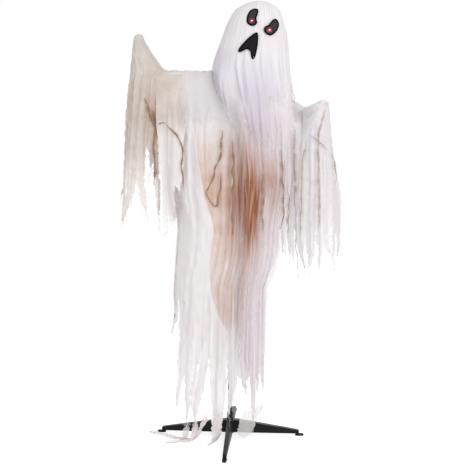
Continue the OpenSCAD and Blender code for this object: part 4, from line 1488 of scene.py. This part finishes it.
@dataclass
class Strands:
    """Strips of gauze twisted into two-ply cords that lie on a garment.

    A path is a depth, for where no cloth is near, and its places across and up, in metres.
    """

    name: str
    carrier: bpy.types.Object
    hold: Hold
    paths: tuple[StrandPath, ...]
    finish: Solid
    ply_mm: float
    pitch_mm: float = 26.0
    sides: int = 7
    near: float = 0.010
    clear: float = 0.003
    smooth_over: int = 7

    def cling(self, path: Array) -> Array:
        """Moves a path onto the front of its garment.

        Args:
            path: Points in metres.

        Returns:
            The path with its depth taken from the nearest cloth in front.
        """
        co = mesh_points(self.carrier.data)
        depth = path[:, 1].copy()
        for i, p in enumerate(path):
            near = co[(abs(co[:, 0] - p[0]) < self.near) & (abs(co[:, 2] - p[2]) < self.near)]
            if len(near):
                depth[i] = near[:, 1].min() - self.clear
        even = np.ones(self.smooth_over) / self.smooth_over
        depth = np.convolve(np.pad(depth, self.smooth_over // 2, mode="edge"), even, mode="valid")
        return np.stack([path[:, 0], depth, path[:, 2]], axis=1)

    def build(self) -> bpy.types.Object:
        """Makes all strands of one garment as one mesh.

        Returns:
            The strands' object.
        """
        rng = np.random.default_rng(len(self.name) * 13 + len(self.paths))
        points, faces = [], []
        base = 0
        for depth, places in self.paths:
            path = [(x, depth, z) for x, z in places]
            length = path_length(path)
            count = max(12, int(length / 0.005))
            line = spline_path(path, count)
            t = np.linspace(0, length, count)
            line[:, 0] += 0.0022 * Ripple(rng, 6, 18, 6)(t)
            line = self.cling(line)
            forward = unit(np.gradient(line, axis=0))
            across = unit(np.cross(forward, [0, 1, 0]))
            up = np.cross(across, forward)
            ends = np.minimum(1, 0.35 + 12 * np.minimum(t, length - t))
            thick = self.ply_mm * MM * (1 + 0.45 * Ripple(rng, 10, 34, 6)(t)) * ends
            for ply in (0.0, math.pi):
                turn = (TURN * t / (self.pitch_mm * MM) + ply)[:, None]
                mid = line + (0.85 * thick)[:, None] * (np.cos(turn) * across + np.sin(turn) * up)
                points.append(tube_points(mid, across, up, thick, self.sides))
                faces += grid_faces(count, self.sides, base, round_cols=True)
                faces.append([base + j for j in range(self.sides)][::-1])
                faces.append([base + (count - 1) * self.sides + j for j in range(self.sides)])
                base += count * self.sides
        obj = new_object(self.name, np.concatenate(points), faces)
        obj.data.materials.append(self.finish.material())
        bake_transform(obj)
        LOG.info("%s: %d strands", self.name, len(self.paths))
        return obj


@dataclass
class Trail:
    """One torn strip that lies on the floor: its path, its width and the way across it at each point."""

    path: tuple[Point, ...]
    width: float
    aside: tuple[Point, ...]
    weight: float = 0.96


@dataclass
class TrailingStrips:
    """Ends of the robe that trail on the floor round the stand."""

    name: str = "trailing_strips"
    cols: int = 8
    trails: tuple[Trail, ...] = (
        Trail(((-0.178, -0.110, 0.105), (-0.184, -0.108, 0.045), (-0.196, -0.094, 0.010),
               (-0.238, -0.066, 0.006), (-0.300, -0.034, 0.010), (-0.350, -0.004, 0.006)), 0.026,
              ((1, 0, 0), (1, 0.2, 0), (0.8, 0.6, 0), (0.5, 0.9, 0.1), (0.4, 1, 0.1), (0.3, 1, 0))),
        Trail(((-0.142, -0.118, 0.110), (-0.148, -0.120, 0.050), (-0.164, -0.120, 0.010),
               (-0.214, -0.124, 0.010), (-0.266, -0.132, 0.006)), 0.024,
              ((1, 0, 0), (1, 0.1, 0), (0.8, 0.6, 0), (0.4, 1, 0.1), (0.2, 1, 0))),
        Trail(((-0.086, -0.120, 0.150), (-0.104, -0.120, 0.102), (-0.127, -0.118, 0.052),
               (-0.150, -0.108, 0.014), (-0.186, -0.090, 0.008), (-0.238, -0.080, 0.006)), 0.024,
              ((1, 0, 0.2), (1, 0.1, 0.2), (0.9, 0.4, 0.1), (0.7, 0.7, 0), (0.5, 0.9, 0), (0.4, 1, 0))),
        Trail(((-0.052, -0.120, 0.150), (-0.054, -0.124, 0.070), (-0.060, -0.130, 0.022),
               (-0.074, -0.140, 0.008), (-0.092, -0.156, 0.006)), 0.052,
              ((1, 0, 0), (1, -0.2, 0), (0.9, -0.4, 0.2), (0.6, 0.8, 0), (0.3, 0.9, 0))),
        Trail(((0.104, -0.131, 0.180), (0.088, -0.131, 0.130), (0.070, -0.130, 0.085),
               (0.062, -0.130, 0.028)), 0.084,
              ((1, 0, 0.1), (1, 0, 0.15), (1, 0, 0.3), (1, 0, 0.25)), 0.6),
    )

    def build(self) -> bpy.types.Object:
        """Makes the strips as one sheet.

        Returns:
            The strips' object.
        """
        rng = np.random.default_rng(83)
        points, masks, flats, faces = [], [], [], []
        base = 0
        u = np.linspace(-0.5, 0.5, self.cols)[None, :]
        for trail in self.trails:
            length = path_length(trail.path)
            count = max(16, int(length / 0.006))
            line = spline_path(trail.path, count)
            t = np.linspace(0, 1, count)
            at = np.linspace(0, 1, len(trail.path))
            aside = unit(np.stack([np.interp(t, at, [a[k] for a in trail.aside]) for k in range(3)], axis=1))
            width = trail.width * (1 - 0.2 * t) * (1 - 0.75 * np.clip((t - 0.84) / 0.16, 0, 1) ** 1.5)
            ragged = np.stack([Ripple(rng, 5, 30, 7)(t), Ripple(rng, 5, 30, 7)(t)], axis=1) * 0.0048
            offset = width[:, None] * u + np.where(u < 0, ragged[:, :1], ragged[:, 1:]) * abs(2 * u)
            grid = line[:, None] + offset[..., None] * aside[:, None]
            wave = 0.004 * np.sin(TURN * (2.2 * u + 3 * t[:, None]))
            grid[..., 1] += wave * smoothstep(grid[..., 2], 0.01, 0.06)
            lift = 0.0025 * (1 + np.sin(9 * u + 25 * t[:, None]))
            grid[..., 2] = np.maximum(grid[..., 2] + lift, THREAD_FLOOR)
            points.append(grid.reshape(-1, 3))
            shade = np.tile([0.0, 0.16, 0.05, trail.weight], (count, self.cols, 1))
            shade[..., 3] *= smoothstep(t, 0.0, 0.3)[:, None]
            masks.append(shade.reshape(-1, 4))
            flat = np.broadcast_arrays(u * trail.width, t[:, None] * length)
            flats.append(np.stack(flat, axis=-1).reshape(-1, 2))
            faces += grid_faces(count, self.cols, base)
            base += count * self.cols
        obj = new_object(self.name, np.concatenate(points), faces)
        set_flat_map(obj, np.concatenate(flats))
        set_mask(obj, np.concatenate(masks))
        obj.data.materials.append(ROBE_CHEESECLOTH.material())
        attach(obj, "stand")
        # The strips taper, so they hold about 0.85 of their widest width times length
        LOG.info("%s: %d strips", self.name, len(self.trails))
        return obj


# Face

@dataclass
class FaceTrim:
    """Raised welded rims and charcoal middles of the two eyes and the mouth, and the lit lamp cores."""

    place: HeadPlace = field(default_factory=HeadPlace)
    face_x: float = 3.5
    eye_half: float = 39.5
    eye_h: float = 101.0
    rim_mm: float = 2.7
    rim_sides: int = 8
    proud_mm: float = 14.6
    lens_y: float = -120.0
    eye: tuple[tuple[float, float], ...] = (
        (0, 52), (14, 49), (24, 36), (25, 12), (15, -11), (-1, -17), (-17, -11), (-20, 3), (-10, 17),
        (-7, 36))
    mouth_half: tuple[tuple[float, float], ...] = (
        (9, 58), (22, 30), (31, 0), (35, -19), (31, -29), (22, -22), (12, -8))
    mouth_top: tuple[float, float] = (0, 68)
    mouth_notch: tuple[float, float] = (0, -3)
    middle_rings: tuple[float, ...] = (1.0, 0.84, 0.66, 0.45, 0.22)
    lamp_rings: tuple[tuple[float, float], ...] = ((2.6, 0.0), (2.3, 0.6), (1.6, 1.1), (0.8, 1.4))

    def outlines(self) -> list[Array]:
        """Lists the three panel outlines in the head's front view.

        Returns:
            Closed smooth outlines in millimetres.
        """
        eye = np.asarray(self.eye, float)
        right = eye + [self.face_x + self.eye_half, self.eye_h]
        left = eye[::-1] * [-1, 1] + [self.face_x - self.eye_half, self.eye_h]
        half = np.asarray(self.mouth_half, float)
        mouth = np.concatenate([[self.mouth_top], half, [self.mouth_notch], (half * [-1, 1])[::-1]])
        return [self.closed_curve(p, 10) for p in (left, right, mouth + [self.face_x, 0])]

    @staticmethod
    def closed_curve(points: Array, steps: int) -> Array:
        """Runs a closed Catmull-Rom curve through points.

        Args:
            points: Corner points.
            steps: Points drawn for each corner.

        Returns:
            The curve's points.
        """
        a, b, c, d = (np.roll(points, k, axis=0)[:, None] for k in (1, 0, -1, -2))
        t = np.linspace(0, 1, steps, endpoint=False)[None, :, None]
        square, cube = 2 * a - 5 * b + 4 * c - d, 3 * b - a - 3 * c + d
        return (0.5 * (2 * b + (c - a) * t + square * t ** 2 + cube * t ** 3)).reshape(-1, 2)

    @staticmethod
    def inset(line: Array, by_mm: float) -> Array:
        """Moves a closed outline inward.

        Args:
            line: The outline's points.
            by_mm: Distance.

        Returns:
            The smaller outline.
        """
        run = np.roll(line, -1, axis=0) - np.roll(line, 1, axis=0)
        inward = unit(np.stack([-run[:, 1], run[:, 0]], axis=1))
        area = (line[:, 0] * np.roll(line[:, 1], -1) - np.roll(line[:, 0], -1) * line[:, 1]).sum()
        return line + inward * np.sign(area) * by_mm

    def rims(self) -> bpy.types.Object:
        """Makes the raised rims.

        Returns:
            One mesh of three closed tubes.
        """
        points, faces = [], []
        base = 0
        for outline in self.outlines():
            line = self.inset(outline, 0.9)
            mid = self.place.front(line[:, 0], line[:, 1], self.proud_mm - 0.6)
            forward = unit(np.roll(mid, -1, axis=0) - np.roll(mid, 1, axis=0))
            out = unit(self.place.front(line[:, 0], line[:, 1], self.proud_mm + 1) - mid)
            across = unit(np.cross(forward, out))
            tube = tube_points(mid, across, out, np.full(len(mid), self.rim_mm), self.rim_sides)
            points.append(self.place.to_world(tube))
            faces += grid_faces(len(line), self.rim_sides, base, True, True)
            base += len(tube)
        obj = new_object("face_rims", np.concatenate(points), faces)
        obj.data.materials.append(FACE_EDGE.material())
        return obj

    def middles(self) -> bpy.types.Object:
        """Makes the charcoal middles, a little proud of each panel.

        Returns:
            One mesh of three curved patches.
        """
        points, faces = [], []
        base = 0
        slots: list[int] = []
        for panel, line in enumerate(self.outlines()):
            centre = line.mean(axis=0)
            edge = self.inset(line, 4.2)
            for share in self.middle_rings:
                ring = centre + (edge - centre) * share
                lift = self.proud_mm + 0.35 + 0.5 * (1 - share ** 3)
                points.append(self.place.to_world(self.place.front(ring[:, 0], ring[:, 1], lift)))
            tip = self.place.front(centre[None, 0], centre[None, 1], self.proud_mm + 0.85)
            points.append(self.place.to_world(tip))
            faces += dome_faces(len(self.middle_rings), len(line), base)
            base += len(self.middle_rings) * len(line) + 1
            slots += [panel // 2] * (len(faces) - len(slots))
        obj = new_object("face_middles", np.concatenate(points), faces)
        for finish in (FACE_VINYL, MOUTH_VINYL):
            obj.data.materials.append(finish.material())
        obj.data.polygons.foreach_set("material_index", slots)
        return obj

    def lamp_cores(self) -> bpy.types.Object:
        """Makes the bright spot of the lit lamp on each lens.

        Returns:
            One mesh of two small domes.
        """
        points, faces = [], []
        base = 0
        count = 24
        a = np.linspace(0, TURN, count, endpoint=False)
        for sign in (-1, 1):
            centre = np.array([self.face_x + sign * self.eye_half, self.lens_y, self.eye_h])
            for radius, rise in self.lamp_rings:
                ring = np.stack([radius * np.cos(a), np.full(count, -rise), radius * np.sin(a)], axis=1)
                points.append(self.place.to_world(centre + ring))
            points.append(self.place.to_world((centre - [0, 1.5, 0])[None]))
            faces += dome_faces(len(self.lamp_rings), count, base)
            base += len(self.lamp_rings) * count + 1
        obj = new_object("lamp_cores", np.concatenate(points), faces)
        obj.data.materials.append(LENS_CORE.material())
        return obj

    def build(self) -> None:
        """Makes every trim piece and hangs it on the head."""
        pieces = ((self.rims(), "face_black"), (self.middles(), "face_black"),
                  (self.lamp_cores(), "lamp_red"))
        for obj, slot in pieces:
            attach(obj, "head")
            LOG.info("%s: %d faces", obj.name, len(obj.data.polygons))


# Hard parts from the frame

@dataclass
class HardParts:
    """Finishes of the stand, drive and frame pieces, which keep their own shapes."""

    finishes: Mapping[Solid, tuple[str, ...]] = field(default_factory=lambda: {
        LEG_POWDER: ("leg_front", "leg_right", "leg_rear", "leg_left", "rocker_yoke", "head_bracket"),
        POLE_POWDER: ("pole_lower", "pole_middle", "pole_upper"),
        CASE_ABS: ("base_hub", "pole_collar", "pole_socket", "case_front", "case_rear", "battery_door",
                   "collar_screw", "shoulder_hub", "neck_tube", "upper_arm_left", "upper_arm_right",
                   "forearm_left", "forearm_right"),
        FOOT_RUBBER: ("foot_pads",),
        ZINC_STEEL: ("leg_screws", "pole_joiners", "case_screws", "gear_plate", "drive_motor", "gear_axles",
                     "battery_contacts", "door_pin", "motor_shaft", "rocker_shaft", "elbow_pins", "neck_pin"),
        TURNED_BRASS: ("shaft_bushes", "motor_pinion"),
        GEAR_ACETAL: ("first_gear", "second_gear", "rocker_sector", "mode_switch"),
        BOARD_EPOXY: ("circuit_board",),
        DARK_PVC: ("speaker", "switch_bodies", "eye_lead"),
        CELL_SLEEVE: ("battery_cells",),
        BUTTON_ABS: ("try_button",),
        HEAD_PE: ("head_shell_front", "head_shell_rear", "hand_knob_left", "hand_knob_right"),
        FACE_EDGE: ("eye_panels", "mouth_panel"),
        LENS_ACRYLIC: ("eye_lenses",),
    })
    bevelled: tuple[str, ...] = ("leg_front", "leg_right", "leg_rear", "leg_left", "base_hub", "foot_pads",
                                 "case_front", "case_rear", "battery_door", "pole_collar")
    bevel_mm: float = 0.8
    bevel_from: float = 40.0

    def dress(self, nodes: Mapping[str, bpy.types.Object]) -> None:
        """Puts a finish on every hard part and softens the sharp edges.

        Args:
            nodes: Frame objects by node name.
        """
        for finish, names in self.finishes.items():
            mat = finish.material()
            for name in names:
                mesh = nodes[name].data
                mesh.materials.clear()
                mesh.materials.append(mat)
        for name in self.bevelled:
            bevel = nodes[name].modifiers.new("pressed_edge", "BEVEL")
            bevel.width = self.bevel_mm * MM
            bevel.segments = 2
            bevel.limit_method = "ANGLE"
            bevel.angle_limit = math.radians(self.bevel_from)
        LOG.info("hard parts: %d nodes dressed", sum(len(n) for n in self.finishes.values()))


# Studio

@dataclass
class Studio:
    """Camera at the photograph's place, soft lamps, and a white floor that keeps a faint shadow.

    A lamp is its name, its place, what it points at, its side in metres and its watts.
    """

    camera_at: Point = (0.0084, -3.0, 1.127)
    pitch: float = 85.2
    lens_mm: float = 55.21
    ambient: float = 0.84
    floor_size: float = 14.0
    floor_grey: float = 0.42
    floor_glow: float = 0.72
    lamps: tuple[tuple[str, Point, Point, float, float], ...] = (
        ("key_lamp", (2.0, -2.9, 1.8), (0.0, 0.0, 1.0), 2.0, 64.0),
        ("fill_lamp", (-2.3, -2.5, 0.8), (0.0, 0.0, 0.7), 2.2, 33.0),
        ("back_lamp", (0.6, 2.6, 2.0), (0.0, 0.0, 1.0), 2.2, 40.0))

    def camera(self) -> None:
        """Makes the camera."""
        data = bpy.data.cameras.new("photo_camera")
        data.lens = self.lens_mm
        data.sensor_width = 36.0
        data.clip_end = 100.0
        obj = bpy.data.objects.new("photo_camera", data)
        obj.location = self.camera_at
        obj.rotation_euler = (math.radians(self.pitch), 0, 0)
        bpy.context.scene.collection.objects.link(obj)
        bpy.context.scene.camera = obj

    def lamp(self, name: str, place: Point, aim: Point, size: float, power: float) -> None:
        """Adds one soft square lamp.

        Args:
            name: Lamp name.
            place: Where it hangs.
            aim: What it points at.
            size: Side of the lamp in metres.
            power: Watts.
        """
        data = bpy.data.lights.new(name, "AREA")
        data.size = size
        data.energy = power
        obj = bpy.data.objects.new(name, data)
        obj.location = place
        x, y, z = np.asarray(aim) - np.asarray(place)
        obj.rotation_euler = (math.atan2(math.hypot(x, y), -z), 0, math.atan2(y, x) - math.pi / 2)
        bpy.context.scene.collection.objects.link(obj)

    def world(self) -> None:
        """Makes plain white surroundings, seen as pure white."""
        world = bpy.data.worlds.new("white_room")
        bpy.context.scene.world = world
        world.use_nodes = True
        tree = world.node_tree
        path = add_node(tree, "ShaderNodeLightPath").outputs
        seen = maths(tree, "MAXIMUM", path["Is Camera Ray"], path["Is Transmission Ray"])
        shown = maths(tree, "MAXIMUM", seen, path["Is Glossy Ray"])
        back = tree.nodes["Background"]
        set_inputs(back, {"Color": (1, 1, 1, 1)})
        tree.links.new(remap(tree, shown, self.ambient, 1.0, (0.0, 1.0)), back.inputs["Strength"])

    def floor(self) -> None:
        """Lays the floor: much of its white is its own, so the shadow stays faint."""
        half = self.floor_size / 2
        corners = np.array([[-half, -half, 0], [half, -half, 0], [half, half, 0], [-half, half, 0]])
        obj = new_object("studio_floor", corners, [[0, 1, 2, 3]], smooth=False)
        mat, tree, shader = start_material("paper_matt_white")
        grain = noise(tree, add_node(tree, "ShaderNodeTexCoord").outputs["Object"], 900.0)
        bump = add_node(tree, "ShaderNodeBump", {"Strength": 0.05, "Distance": 0.0002}, {"Height": grain})
        path = add_node(tree, "ShaderNodeLightPath").outputs
        shown = maths(tree, "MAXIMUM", path["Is Camera Ray"], path["Is Glossy Ray"])
        lit = add_node(tree, "ShaderNodeMath", {"operation": "MULTIPLY", 1: self.floor_glow}, {0: shown})
        grey = self.floor_grey
        set_inputs(shader, {"Base Color": (grey, grey, grey, 1), "Roughness": 0.9, "Specular IOR Level": 0.0,
                            "Emission Color": (1, 1, 1, 1)})
        tree.links.new(bump.outputs[0], shader.inputs["Normal"])
        tree.links.new(lit.outputs[0], shader.inputs["Emission Strength"])
        obj.data.materials.append(mat)

    def build(self) -> None:
        """Makes the whole studio."""
        bpy.context.scene.view_settings.view_transform = "Standard"
        self.camera()
        self.world()
        self.floor()
        for lamp in self.lamps:
            self.lamp(*lamp)


# Garments of this prop

def make_hood() -> Hood:
    """Sets the hood's sizes.

    Returns:
        The hood.
    """
    tear = TearPlan(
        11, taper=(0.04, 0.15), sway=0.006, twist=0.25,
        borders=(0.0, 0.05, 0.10, 0.15, 0.20, 0.256, 0.306, 0.356, 0.406, 0.622, 0.658, 0.692, 0.722, 0.75,
                 0.781, 0.814, 0.847, 0.883, 0.928, 0.967, 1.0),
        slits=(0.90, 0.84, 0.80, 0.86, 0.78, 0.84, 0.80, 0.88, 0.97, 0.95, 0.88, 0.82, 0.86, 0.78, 0.84,
               0.80, 0.86, 0.82, 0.88, 0.84, 0.90),
        ends=(0.99, 1.02, 0.96, 1.03, 0.98, 1.04, 0.97, 1.0, 1.0, 1.02, 0.97, 1.04, 0.98, 1.03, 0.96, 1.02,
              0.98, 1.03, 0.97, 1.0))
    return Hood(name="hood_cloth", node="hood", finish=HOOD_TRICOT, tear=tear, across=300, down=120,
                span=(1.0, 0.6), hold=NECK, flat=(1.02, 0.60), area=0.43, held="draped",
                rests_on=("head_shell_front", "head_shell_rear"), slot="gauze_white", threads=160, fray=0.003,
                row_power=1.5)


def make_robe(side: Side) -> RobePanel:
    """Sets the sizes of one robe panel.

    Args:
        side: Front or back.

    Returns:
        The panel.
    """
    front = side is Side.FRONT
    face = "front" if front else "back"
    ends = (0.765, 0.99, 1.04, 1.02, 1.045, 0.965, 0.915, 0.985, 0.945)
    slits = (0.16, 0.65, 0.872, 0.835, 0.812, 0.825, 0.895, 0.885, 0.85, 0.20)
    if not front:
        ends = (0.70, 0.86, 0.81, 0.86, 0.91, 0.93, 0.84, 0.86, 0.80)
        slits = (0.16, 0.58, 0.76, 0.72, 0.75, 0.78, 0.76, 0.72, 0.70, 0.20)
    tear = TearPlan(
        23 if front else 29, taper=(0.02, 0.10), sway=0.014, twist=0.4, ends=ends, slits=slits,
        borders=(0.0, 0.075, 0.16, 0.25, 0.41, 0.598, 0.705, 0.834, 0.93, 1.0),
        sways=(-0.056, -0.036, -0.010, -0.042, 0.008, -0.026, 0.004, 0.004, 0.006))
    # The front panel laps outside the back panel at both sides
    return RobePanel(name=f"robe_{face}_cloth", node=f"robe_{face}", finish=ROBE_CHEESECLOTH, tear=tear,
                     across=150, down=170, span=(0.53, 1.45), hold=WAIST, flat=(0.56, 1.45), held="hung",
                     rests_on=("upper_arm_left", "upper_arm_right", "shoulder_hub"), slot="gauze_cream",
                     threads=200, row_power=1.25, side=side, side_mm=-48.0 if front else -30.0,
                     inset_mm=0.0 if front else 7.0)


def make_drape_left(side: Side) -> ArmDrape:
    """Sets the sizes of one face of the drape over the upper arm on the viewer's left.

    Args:
        side: Front or back.

    Returns:
        The drape.
    """
    face = side.name.lower()
    tear = TearPlan(61, taper=(0.05, 0.25), sway=0.012, twist=0.6, borders=(0.0, 0.14, 0.30, 0.68, 1.0),
                    slits=(0.35, 0.62, 0.86, 0.70, 0.45), ends=(0.70, 1.0, 0.92, 0.76))
    return ArmDrape(name=f"arm_drape_left_{face}", node="", finish=DRAPE_CHEESECLOTH, tear=tear, across=50,
                    down=100, span=(0.12, 0.68), hold=WAIST, flat=(0.125, 0.67), held="hung",
                    rests_on=("upper_arm_left", f"robe_{face}_cloth"), slot="gauze_cream", threads=40,
                    fray=0.003, row_power=1.25, side=side, hem_z=870.0)


def make_drape_right(side: Side) -> ArmDrape:
    """Sets the sizes of one face of the drape over the upper arm on the viewer's right.

    Args:
        side: Front, which stays clear of the forearm, or back.

    Returns:
        The drape.
    """
    front = side is Side.FRONT
    face = side.name.lower()
    tear = TearPlan(67, taper=(0.08, 0.3), sway=0.008, twist=0.5, borders=(0.0, 0.36, 0.70, 1.0),
                    slits=(0.25, 0.52, 0.58, 0.30), ends=(0.94, 1.0, 0.86))
    return ArmDrape(name=f"arm_drape_right_{face}", node="", finish=ROBE_CHEESECLOTH, tear=tear, across=50,
                    down=100, span=(0.12, 0.68), hold=WAIST, flat=(0.10, 0.68), area=0.052, held="hung",
                    rests_on=("upper_arm_right", f"robe_{face}_cloth"), slot="gauze_cream", threads=40,
                    fray=0.003, row_power=1.25, side=side, hem_z=745.0, clear_mm=14.0,
                    sweep_mm=95.0 if front else 0.0, settle=0.28, reach=(206.0, 312.0 if front else 334.0),
                    foot=(212.0, 284.0), tea=0.02)


def make_veil() -> Veil:
    """Sets the veil's sizes.

    Returns:
        The veil.
    """
    tear = TearPlan(37, taper=(0.06, 0.24), sway=0.010, twist=0.5,
                    borders=(0.0, 0.20, 0.42, 0.62, 0.78, 0.90, 1.0),
                    slits=(0.25, 0.78, 0.83, 0.83, 0.79, 0.77, 0.25),
                    ends=(0.86, 0.85, 0.98, 0.91, 0.92, 0.80))
    return Veil(name="veil_cloth", node="front_drape", finish=VEIL_VOILE, tear=tear, across=80, down=190,
                span=(0.19, 1.43), hold=WAIST, flat=(0.22, 1.43), held="hung",
                rests_on=("neck_tube", "robe_front_cloth"), slot="gauze_white", threads=110)


def make_sleeve_left() -> Sleeve:
    """Sets the sizes of the sleeve on the viewer's left.

    Returns:
        The sleeve.
    """
    tear = TearPlan(41, taper=(0.04, 0.18), sway=0.012, twist=0.5,
                    borders=(0.0, 0.107, 0.180, 0.263, 0.40, 0.53, 0.745, 0.83, 0.893, 1.0),
                    slits=(0.30, 0.66, 0.58, 0.62, 0.70, 0.80, 0.785, 0.61, 0.61, 0.30),
                    ends=(0.82, 0.78, 0.66, 0.80, 0.86, 1.0, 0.99, 0.66, 1.03),
                    sways=(0.0, 0.0, 0.0, 0.0, 0.004, -0.010, 0.032, 0.0, 0.014))
    form = ((1696, -377, -377, 0, 0), (1688, -393, -360, -17, 17), (1660, -400, -349, -24, 24),
            (1600, -407, -311, -28, 28), (1562, -411, -285, -31, 31), (1540, -413, -265, -33, 33),
            (1500, -417, -258, -37, 37), (1350, -430, -272, -47, 46), (1100, -444, -284, -54, 53),
            (940, -452, -286, -57, 56), (760, -452, -288, -57, 56))
    return Sleeve(name="sleeve_left_cloth", node="sleeve_left", finish=SLEEVE_CHEESECLOTH, tear=tear,
                  across=130, down=120, span=(0.42, 0.85), hold=ELBOW_LEFT, flat=(0.44, 0.85), area=0.25,
                  held="hung", rests_on=("hand_knob_left", "forearm_left"), slot="gauze_cream", threads=70,
                  fray=0.003, row_power=1.3, form=form, opens=(130.0, 210.0),
                  torn=((0.62, 0.86, 0.012, 0.03),))


def make_sleeve_right() -> Sleeve:
    """Sets the sizes of the sleeve on the viewer's right.

    Returns:
        The sleeve.
    """
    tear = TearPlan(53, taper=(0.02, 0.14), sway=0.012, twist=0.5,
                    borders=(0.0, 0.10, 0.19, 0.28, 0.37, 0.45, 0.53, 0.64, 0.76, 0.88, 1.0),
                    slits=(0.30, 0.70, 0.78, 0.74, 0.82, 0.70, 0.74, 0.64, 0.58, 0.56, 0.30),
                    ends=(1.02, 0.96, 0.99, 0.95, 0.86, 0.97, 0.94, 0.80, 0.76, 0.74))
    form = ((1410, 364, 364, -178, -178), (1405, 348, 381, -198, -132), (1400, 339, 391, -203, -82),
            (1394, 322, 395, -205, -14), (1385, 302, 398, -206, 32), (1335, 294, 404, -207, 39),
            (1200, 272, 420, -209, 46), (1010, 267, 446, -209, 48), (850, 270, 450, -206, 46),
            (710, 280, 450, -200, 42))
    torn = ((0.55, 0.34, 0.012, 0.04), (0.60, 0.42, 0.010, 0.05), (0.30, 0.86, 0.012, 0.04))
    return Sleeve(name="sleeve_right_cloth", node="sleeve_right", finish=ROBE_CHEESECLOTH, tear=tear,
                  across=150, down=100, span=(0.55, 0.70), hold=ELBOW_RIGHT, flat=(0.56, 0.70), held="hung",
                  rests_on=("hand_knob_right", "forearm_right"), slot="gauze_cream", threads=70, fray=0.0042,
                  row_power=1.3, top=1410.0, turn=(165.0, 471.0), form=form, hem_z=716.0, tea=0.03,
                  weight=0.86, pinch=0.3, grey=0.35, torn=torn)


LEFT_SLEEVE_STRANDS: tuple[StrandPath, ...] = (
    (-0.06, ((-0.319, 1.381), (-0.303, 1.308), (-0.316, 1.247), (-0.309, 1.157), (-0.313, 1.075))),
    (-0.06, ((-0.347, 1.429), (-0.331, 1.372), (-0.315, 1.332), (-0.306, 1.300))),
    (-0.06, ((-0.286, 1.372), (-0.299, 1.332), (-0.304, 1.300))))
LEFT_DRAPE_STRANDS: tuple[StrandPath, ...] = (
    (-0.06, ((-0.270, 1.330), (-0.238, 1.299), (-0.204, 1.256), (-0.191, 1.218), (-0.197, 1.157),
             (-0.190, 1.103), (-0.192, 1.062))),
    (-0.06, ((-0.296, 1.318), (-0.288, 1.326), (-0.270, 1.330))))
RIGHT_DRAPE_STRANDS: tuple[StrandPath, ...] = (
    (-0.06, ((0.232, 1.250), (0.229, 1.150), (0.233, 1.075), (0.240, 0.974), (0.236, 0.880))),
    (-0.06, ((0.262, 1.300), (0.256, 1.200), (0.262, 1.090), (0.258, 0.990))))
ROBE_STRANDS: tuple[StrandPath, ...] = (
    (-0.12, ((-0.032, 1.296), (-0.036, 1.216), (-0.060, 1.136), (-0.089, 1.055), (-0.097, 1.039))),
    (-0.12, ((-0.097, 1.043), (-0.073, 1.003), (-0.061, 0.987), (-0.044, 1.031), (-0.036, 1.128))),
    (-0.13, ((0.010, 1.256), (0.013, 1.156), (0.012, 1.076), (0.010, 0.995), (0.012, 0.874))))
VEIL_STRANDS: tuple[StrandPath, ...] = (
    (-0.15, ((0.128, 1.120), (0.131, 1.016), (0.128, 0.956), (0.133, 0.888))),
    (-0.15, ((0.064, 1.105), (0.063, 1.050), (0.070, 0.985))),
    (-0.15, ((0.205, 1.217), (0.212, 1.075), (0.216, 0.974), (0.205, 0.900))))
RIGHT_SLEEVE_STRANDS: tuple[StrandPath, ...] = (
    (-0.18, ((0.300, 1.250), (0.288, 1.180), (0.285, 1.077), (0.284, 0.978), (0.281, 0.874))),
    (-0.20, ((0.370, 1.368), (0.344, 1.245), (0.345, 1.116), (0.350, 0.999), (0.347, 0.908))),
    (-0.20, ((0.312, 1.272), (0.352, 1.241), (0.383, 1.214))),
    (-0.20, ((0.402, 1.200), (0.416, 1.165), (0.424, 1.120), (0.419, 1.080))))


def main() -> None:
    """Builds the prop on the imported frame."""
    logging.basicConfig(level=logging.INFO, format="%(name)s %(message)s")
    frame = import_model()
    Studio().build()
    HardParts().dress(frame["nodes"])
    FaceTrim().build()
    front, veil, left, right = make_robe(Side.FRONT), make_veil(), make_sleeve_left(), make_sleeve_right()
    left_drape, right_drape = make_drape_left(Side.FRONT), make_drape_right(Side.FRONT)
    garments = (make_hood(), front, make_robe(Side.BACK), veil, left, right, left_drape, right_drape,
                make_drape_left(Side.BACK), make_drape_right(Side.BACK))
    cloths = {garment.name: garment.build() for garment in garments}
    for name, garment, paths, finish, ply_mm in (
            ("left_sleeve_strands", left, LEFT_SLEEVE_STRANDS, STRAND_TWIST, 3.0),
            ("left_drape_strands", left_drape, LEFT_DRAPE_STRANDS, STRAND_TWIST, 2.0),
            ("right_drape_strands", right_drape, RIGHT_DRAPE_STRANDS, STRAND_PALE, 1.6),
            ("robe_strands", front, ROBE_STRANDS, STRAND_TWIST, 2.0),
            ("veil_strands", veil, VEIL_STRANDS, STRAND_TWIST, 1.8),
            ("right_sleeve_strands", right, RIGHT_SLEEVE_STRANDS, STRAND_PALE, 1.9)):
        Strands(name, cloths[garment.name], garment.hold, paths, finish, ply_mm).build()
    TrailingStrips().build()


if __name__ == "__main__":
    main()
